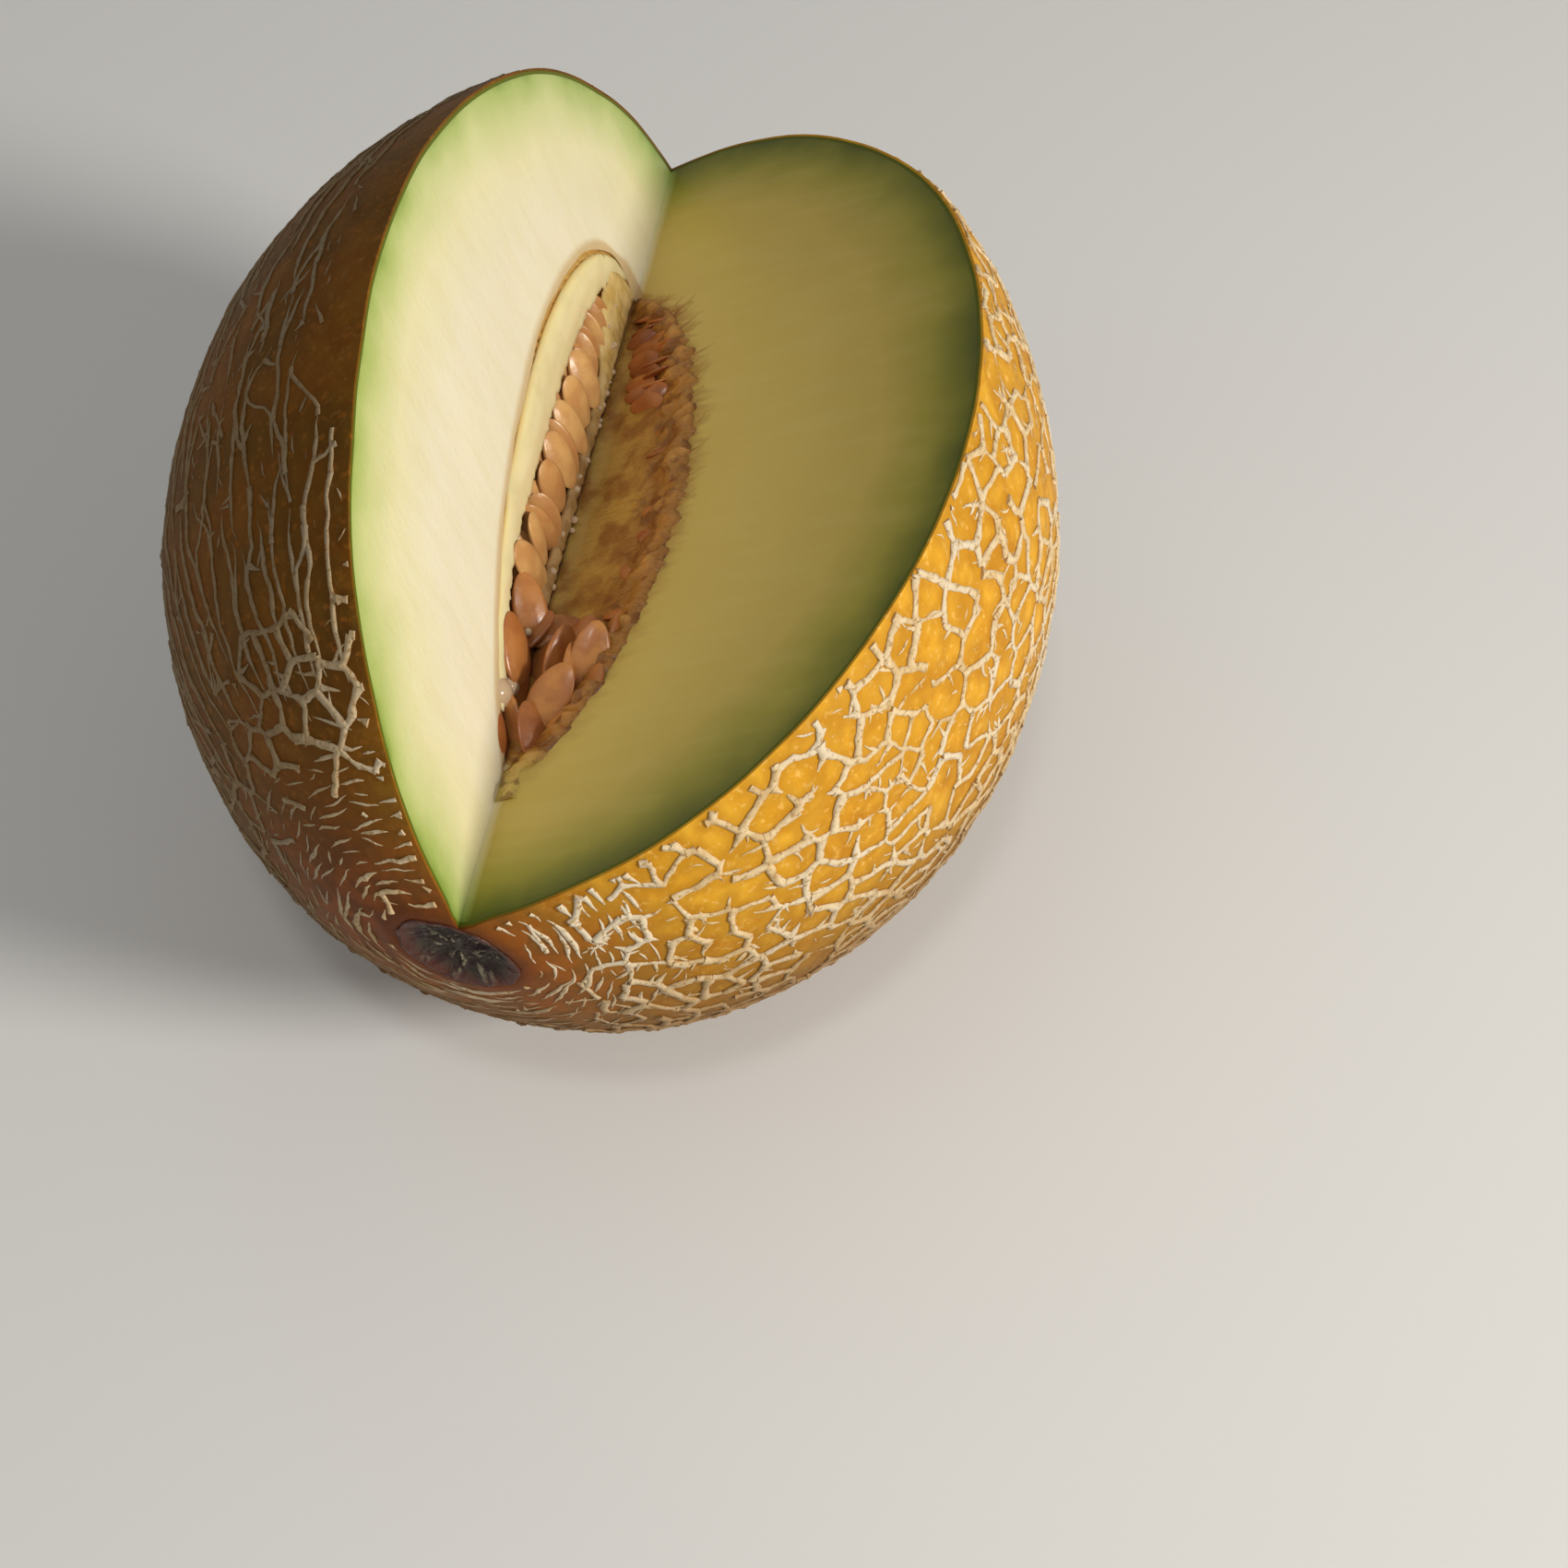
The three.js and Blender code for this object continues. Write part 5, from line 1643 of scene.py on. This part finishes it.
chance = random.Random(31)
fibres = []
for i in range(84):
    y = 42 - 1.0 * i + chance.gauss(0, 0.8)
    upper = float(smoothstep(-34, 2, y))
    length = chance.uniform(1.6, 2.8) + 3.4 * upper * chance.random()
    bend = 0.5 + 3.4 * upper * chance.random()
    fibres.append(strand(y, chance.uniform(1.0, 3.0), length, bend, 0.0, chance.uniform(0.3, 0.8)))
tissue = Finish("tissue", 0.36, Specular_IOR_Level=0.45)
tone = tissue.mix(tissue.blotches(2.6, 0.5, 0.1), srgb(188, 132, 62), srgb(150, 92, 40))
tone = tissue.mix(tissue.span(tissue.attribute("crest"), 0.25, 0.7), srgb(124, 70, 28), tone)
towards_tip = tissue.span(tissue.attribute("share"), 0.25, 0.9)
tissue.set("Base Color", tissue.mix(towards_tip, tone, srgb(196, 164, 84)))
fibre_shape = {"Ridge_height": 0.3, "Lift_mm": 0.02, "Roughness_mm": 0.04}
fibre_piece = sweep_lines("fibres", fibres, tissue.material, **fibre_shape)

# %% [markdown]
# Clear jelly holds the seeds. It stands as a lumpy wet ridge along the edge line between the two cuts, with
# drops on it that catch the light. The drops are pale cream, partly the jelly's own colour and partly painted
# highlight.
# %% The jelly ridge and its drops
def jelly_half_width(y):
    return 1.35 + 3.2 * float(smoothstep(20, 38, y)) - 2.0 * float(smoothstep(42, 47, y))


ys = np.linspace(-25.0, 46.6, 170)
turns = np.linspace(0, 2 * np.pi, 16, endpoint=False)
rings = []
for y in ys:
    fade = min(1.0, (y + 25.4) / 4, (47.0 - y) / 2.5)
    wide = jelly_half_width(y) + 0.4 * noise.noise((y * 0.3, 1, 0))
    high = 0.85 + 0.35 * noise.noise((y * 0.7, 5, 0))
    middle = on_face(LEFT, np.array(y), 0.5 + wide * fade, -0.1 + 0.25 * noise.noise((y * 0.5, 2, 7)))
    bulge = 1 + 0.16 * np.array([noise.noise((y * 0.9, 2.0 * math.cos(t), 2.0 * math.sin(t))) for t in turns])
    across = wide * fade * np.cos(turns) * bulge
    upwards = high * fade * np.sin(turns) * bulge
    rings.append(middle + across[:, None] * LEFT[0] + upwards[:, None] * LEFT[1])
along = np.concatenate([np.repeat(ys, 16), ys[[0, -1]]])
jelly = loft("jelly", rings, [rings[0].mean(0), rings[-1].mean(0)], {"along": along})
clear = Finish("jelly", 0.06, Specular_IOR_Level=0.6, Transmission_Weight=0.12, IOR=1.36)
golden = clear.span(clear.attribute("along"), 8, 30)
tone = clear.mix(clear.blotches(3.0, 0.5, 0.15), srgb(196, 160, 108), srgb(160, 122, 74))
gold_tone = clear.mix(clear.blotches(4.0, 0.5, 0.15), srgb(238, 208, 140), srgb(212, 176, 100))
clear.set("Base Color", clear.mix(golden, tone, gold_tone))
clear.bump(clear.grain(1.8, 0.3), 0.6, 0.8)
jelly.data.materials.append(clear.material)

drop_turns = np.linspace(0, 2 * np.pi, 10, endpoint=False)
drop_circle = np.stack([np.cos(drop_turns), np.sin(drop_turns), np.zeros_like(drop_turns)], 1)
drop_rings = [math.cos(a) * drop_circle + (0, 0, math.sin(a)) for a in np.linspace(-1.25, 1.25, 6)]
drop_tips = np.array([(0, 0, -1), (0, 0, 1)])
drop_shape = loft("drop_shape", np.array(drop_rings) - (0, 0, BODY_HEIGHT), drop_tips - (0, 0, BODY_HEIGHT))
drops = []
for _ in range(20):
    y = chance.uniform(-22, 44)
    away = chance.uniform(0.6, 0.8 + 1.4 * jelly_half_width(y))
    place = on_face(LEFT, np.array(y), away, chance.uniform(0.3, 0.9))
    drops.append((place, seed_turn(EDGE, LEFT[1]), chance.uniform(0.25, 0.7)))
for y, away, height, size in (
    (-25.0, 2.4, 0.7, 0.8),
    (-31.4, 4.6, 0.7, 0.7),
    (-43.3, 5.0, -2.0, 3.1),
    (-40.6, 3.2, -1.2, 2.0),
):
    drops.append((on_face(LEFT, np.array(y), away, height), seed_turn(EDGE, LEFT[1]), size))
# Pale cream glossy drops: partly the jelly's own colour, partly painted highlight standing in for glints.
pale_glint_gel = Finish("gel_drops", 0.06, Specular_IOR_Level=0.6, Transmission_Weight=0.3, IOR=1.36)
pale_glint_gel.shader.inputs["Base Color"].default_value = srgb(234, 204, 168)
drop_piece = set_seeds("drops", drops, drop_shape, pale_glint_gel.material, 12)
drop_piece.data.shade_smooth()
bpy.data.objects.remove(drop_shape)
print("jelly:", len(jelly.data.polygons), "faces")

# %% [markdown]
# Every piece rides on the fruit, because nothing moves. The new pieces take the place of the plain ones.
# %% Put the pieces together
for piece, slot in (
    (skin, "rind"),
    (ridges[0], "net"),
    (ridges[1], "net"),
    (near_scar, "net"),
    (far_scar, "net"),
    (flesh, "flesh"),
    (strip, "flesh"),
    (pulp, "pulp"),
    (fibre_piece, "pulp"),
    (jelly, "pulp"),
    (drop_piece, "pulp"),
    (seeds_left, "seed"),
    (seeds_right, "seed"),
    (seeds_cluster, "seed"),
):
    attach(piece, "root")
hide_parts("fruit")
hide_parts("placenta")
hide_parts("seed_row_left")
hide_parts("seed_row_right")
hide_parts("seed_cluster")
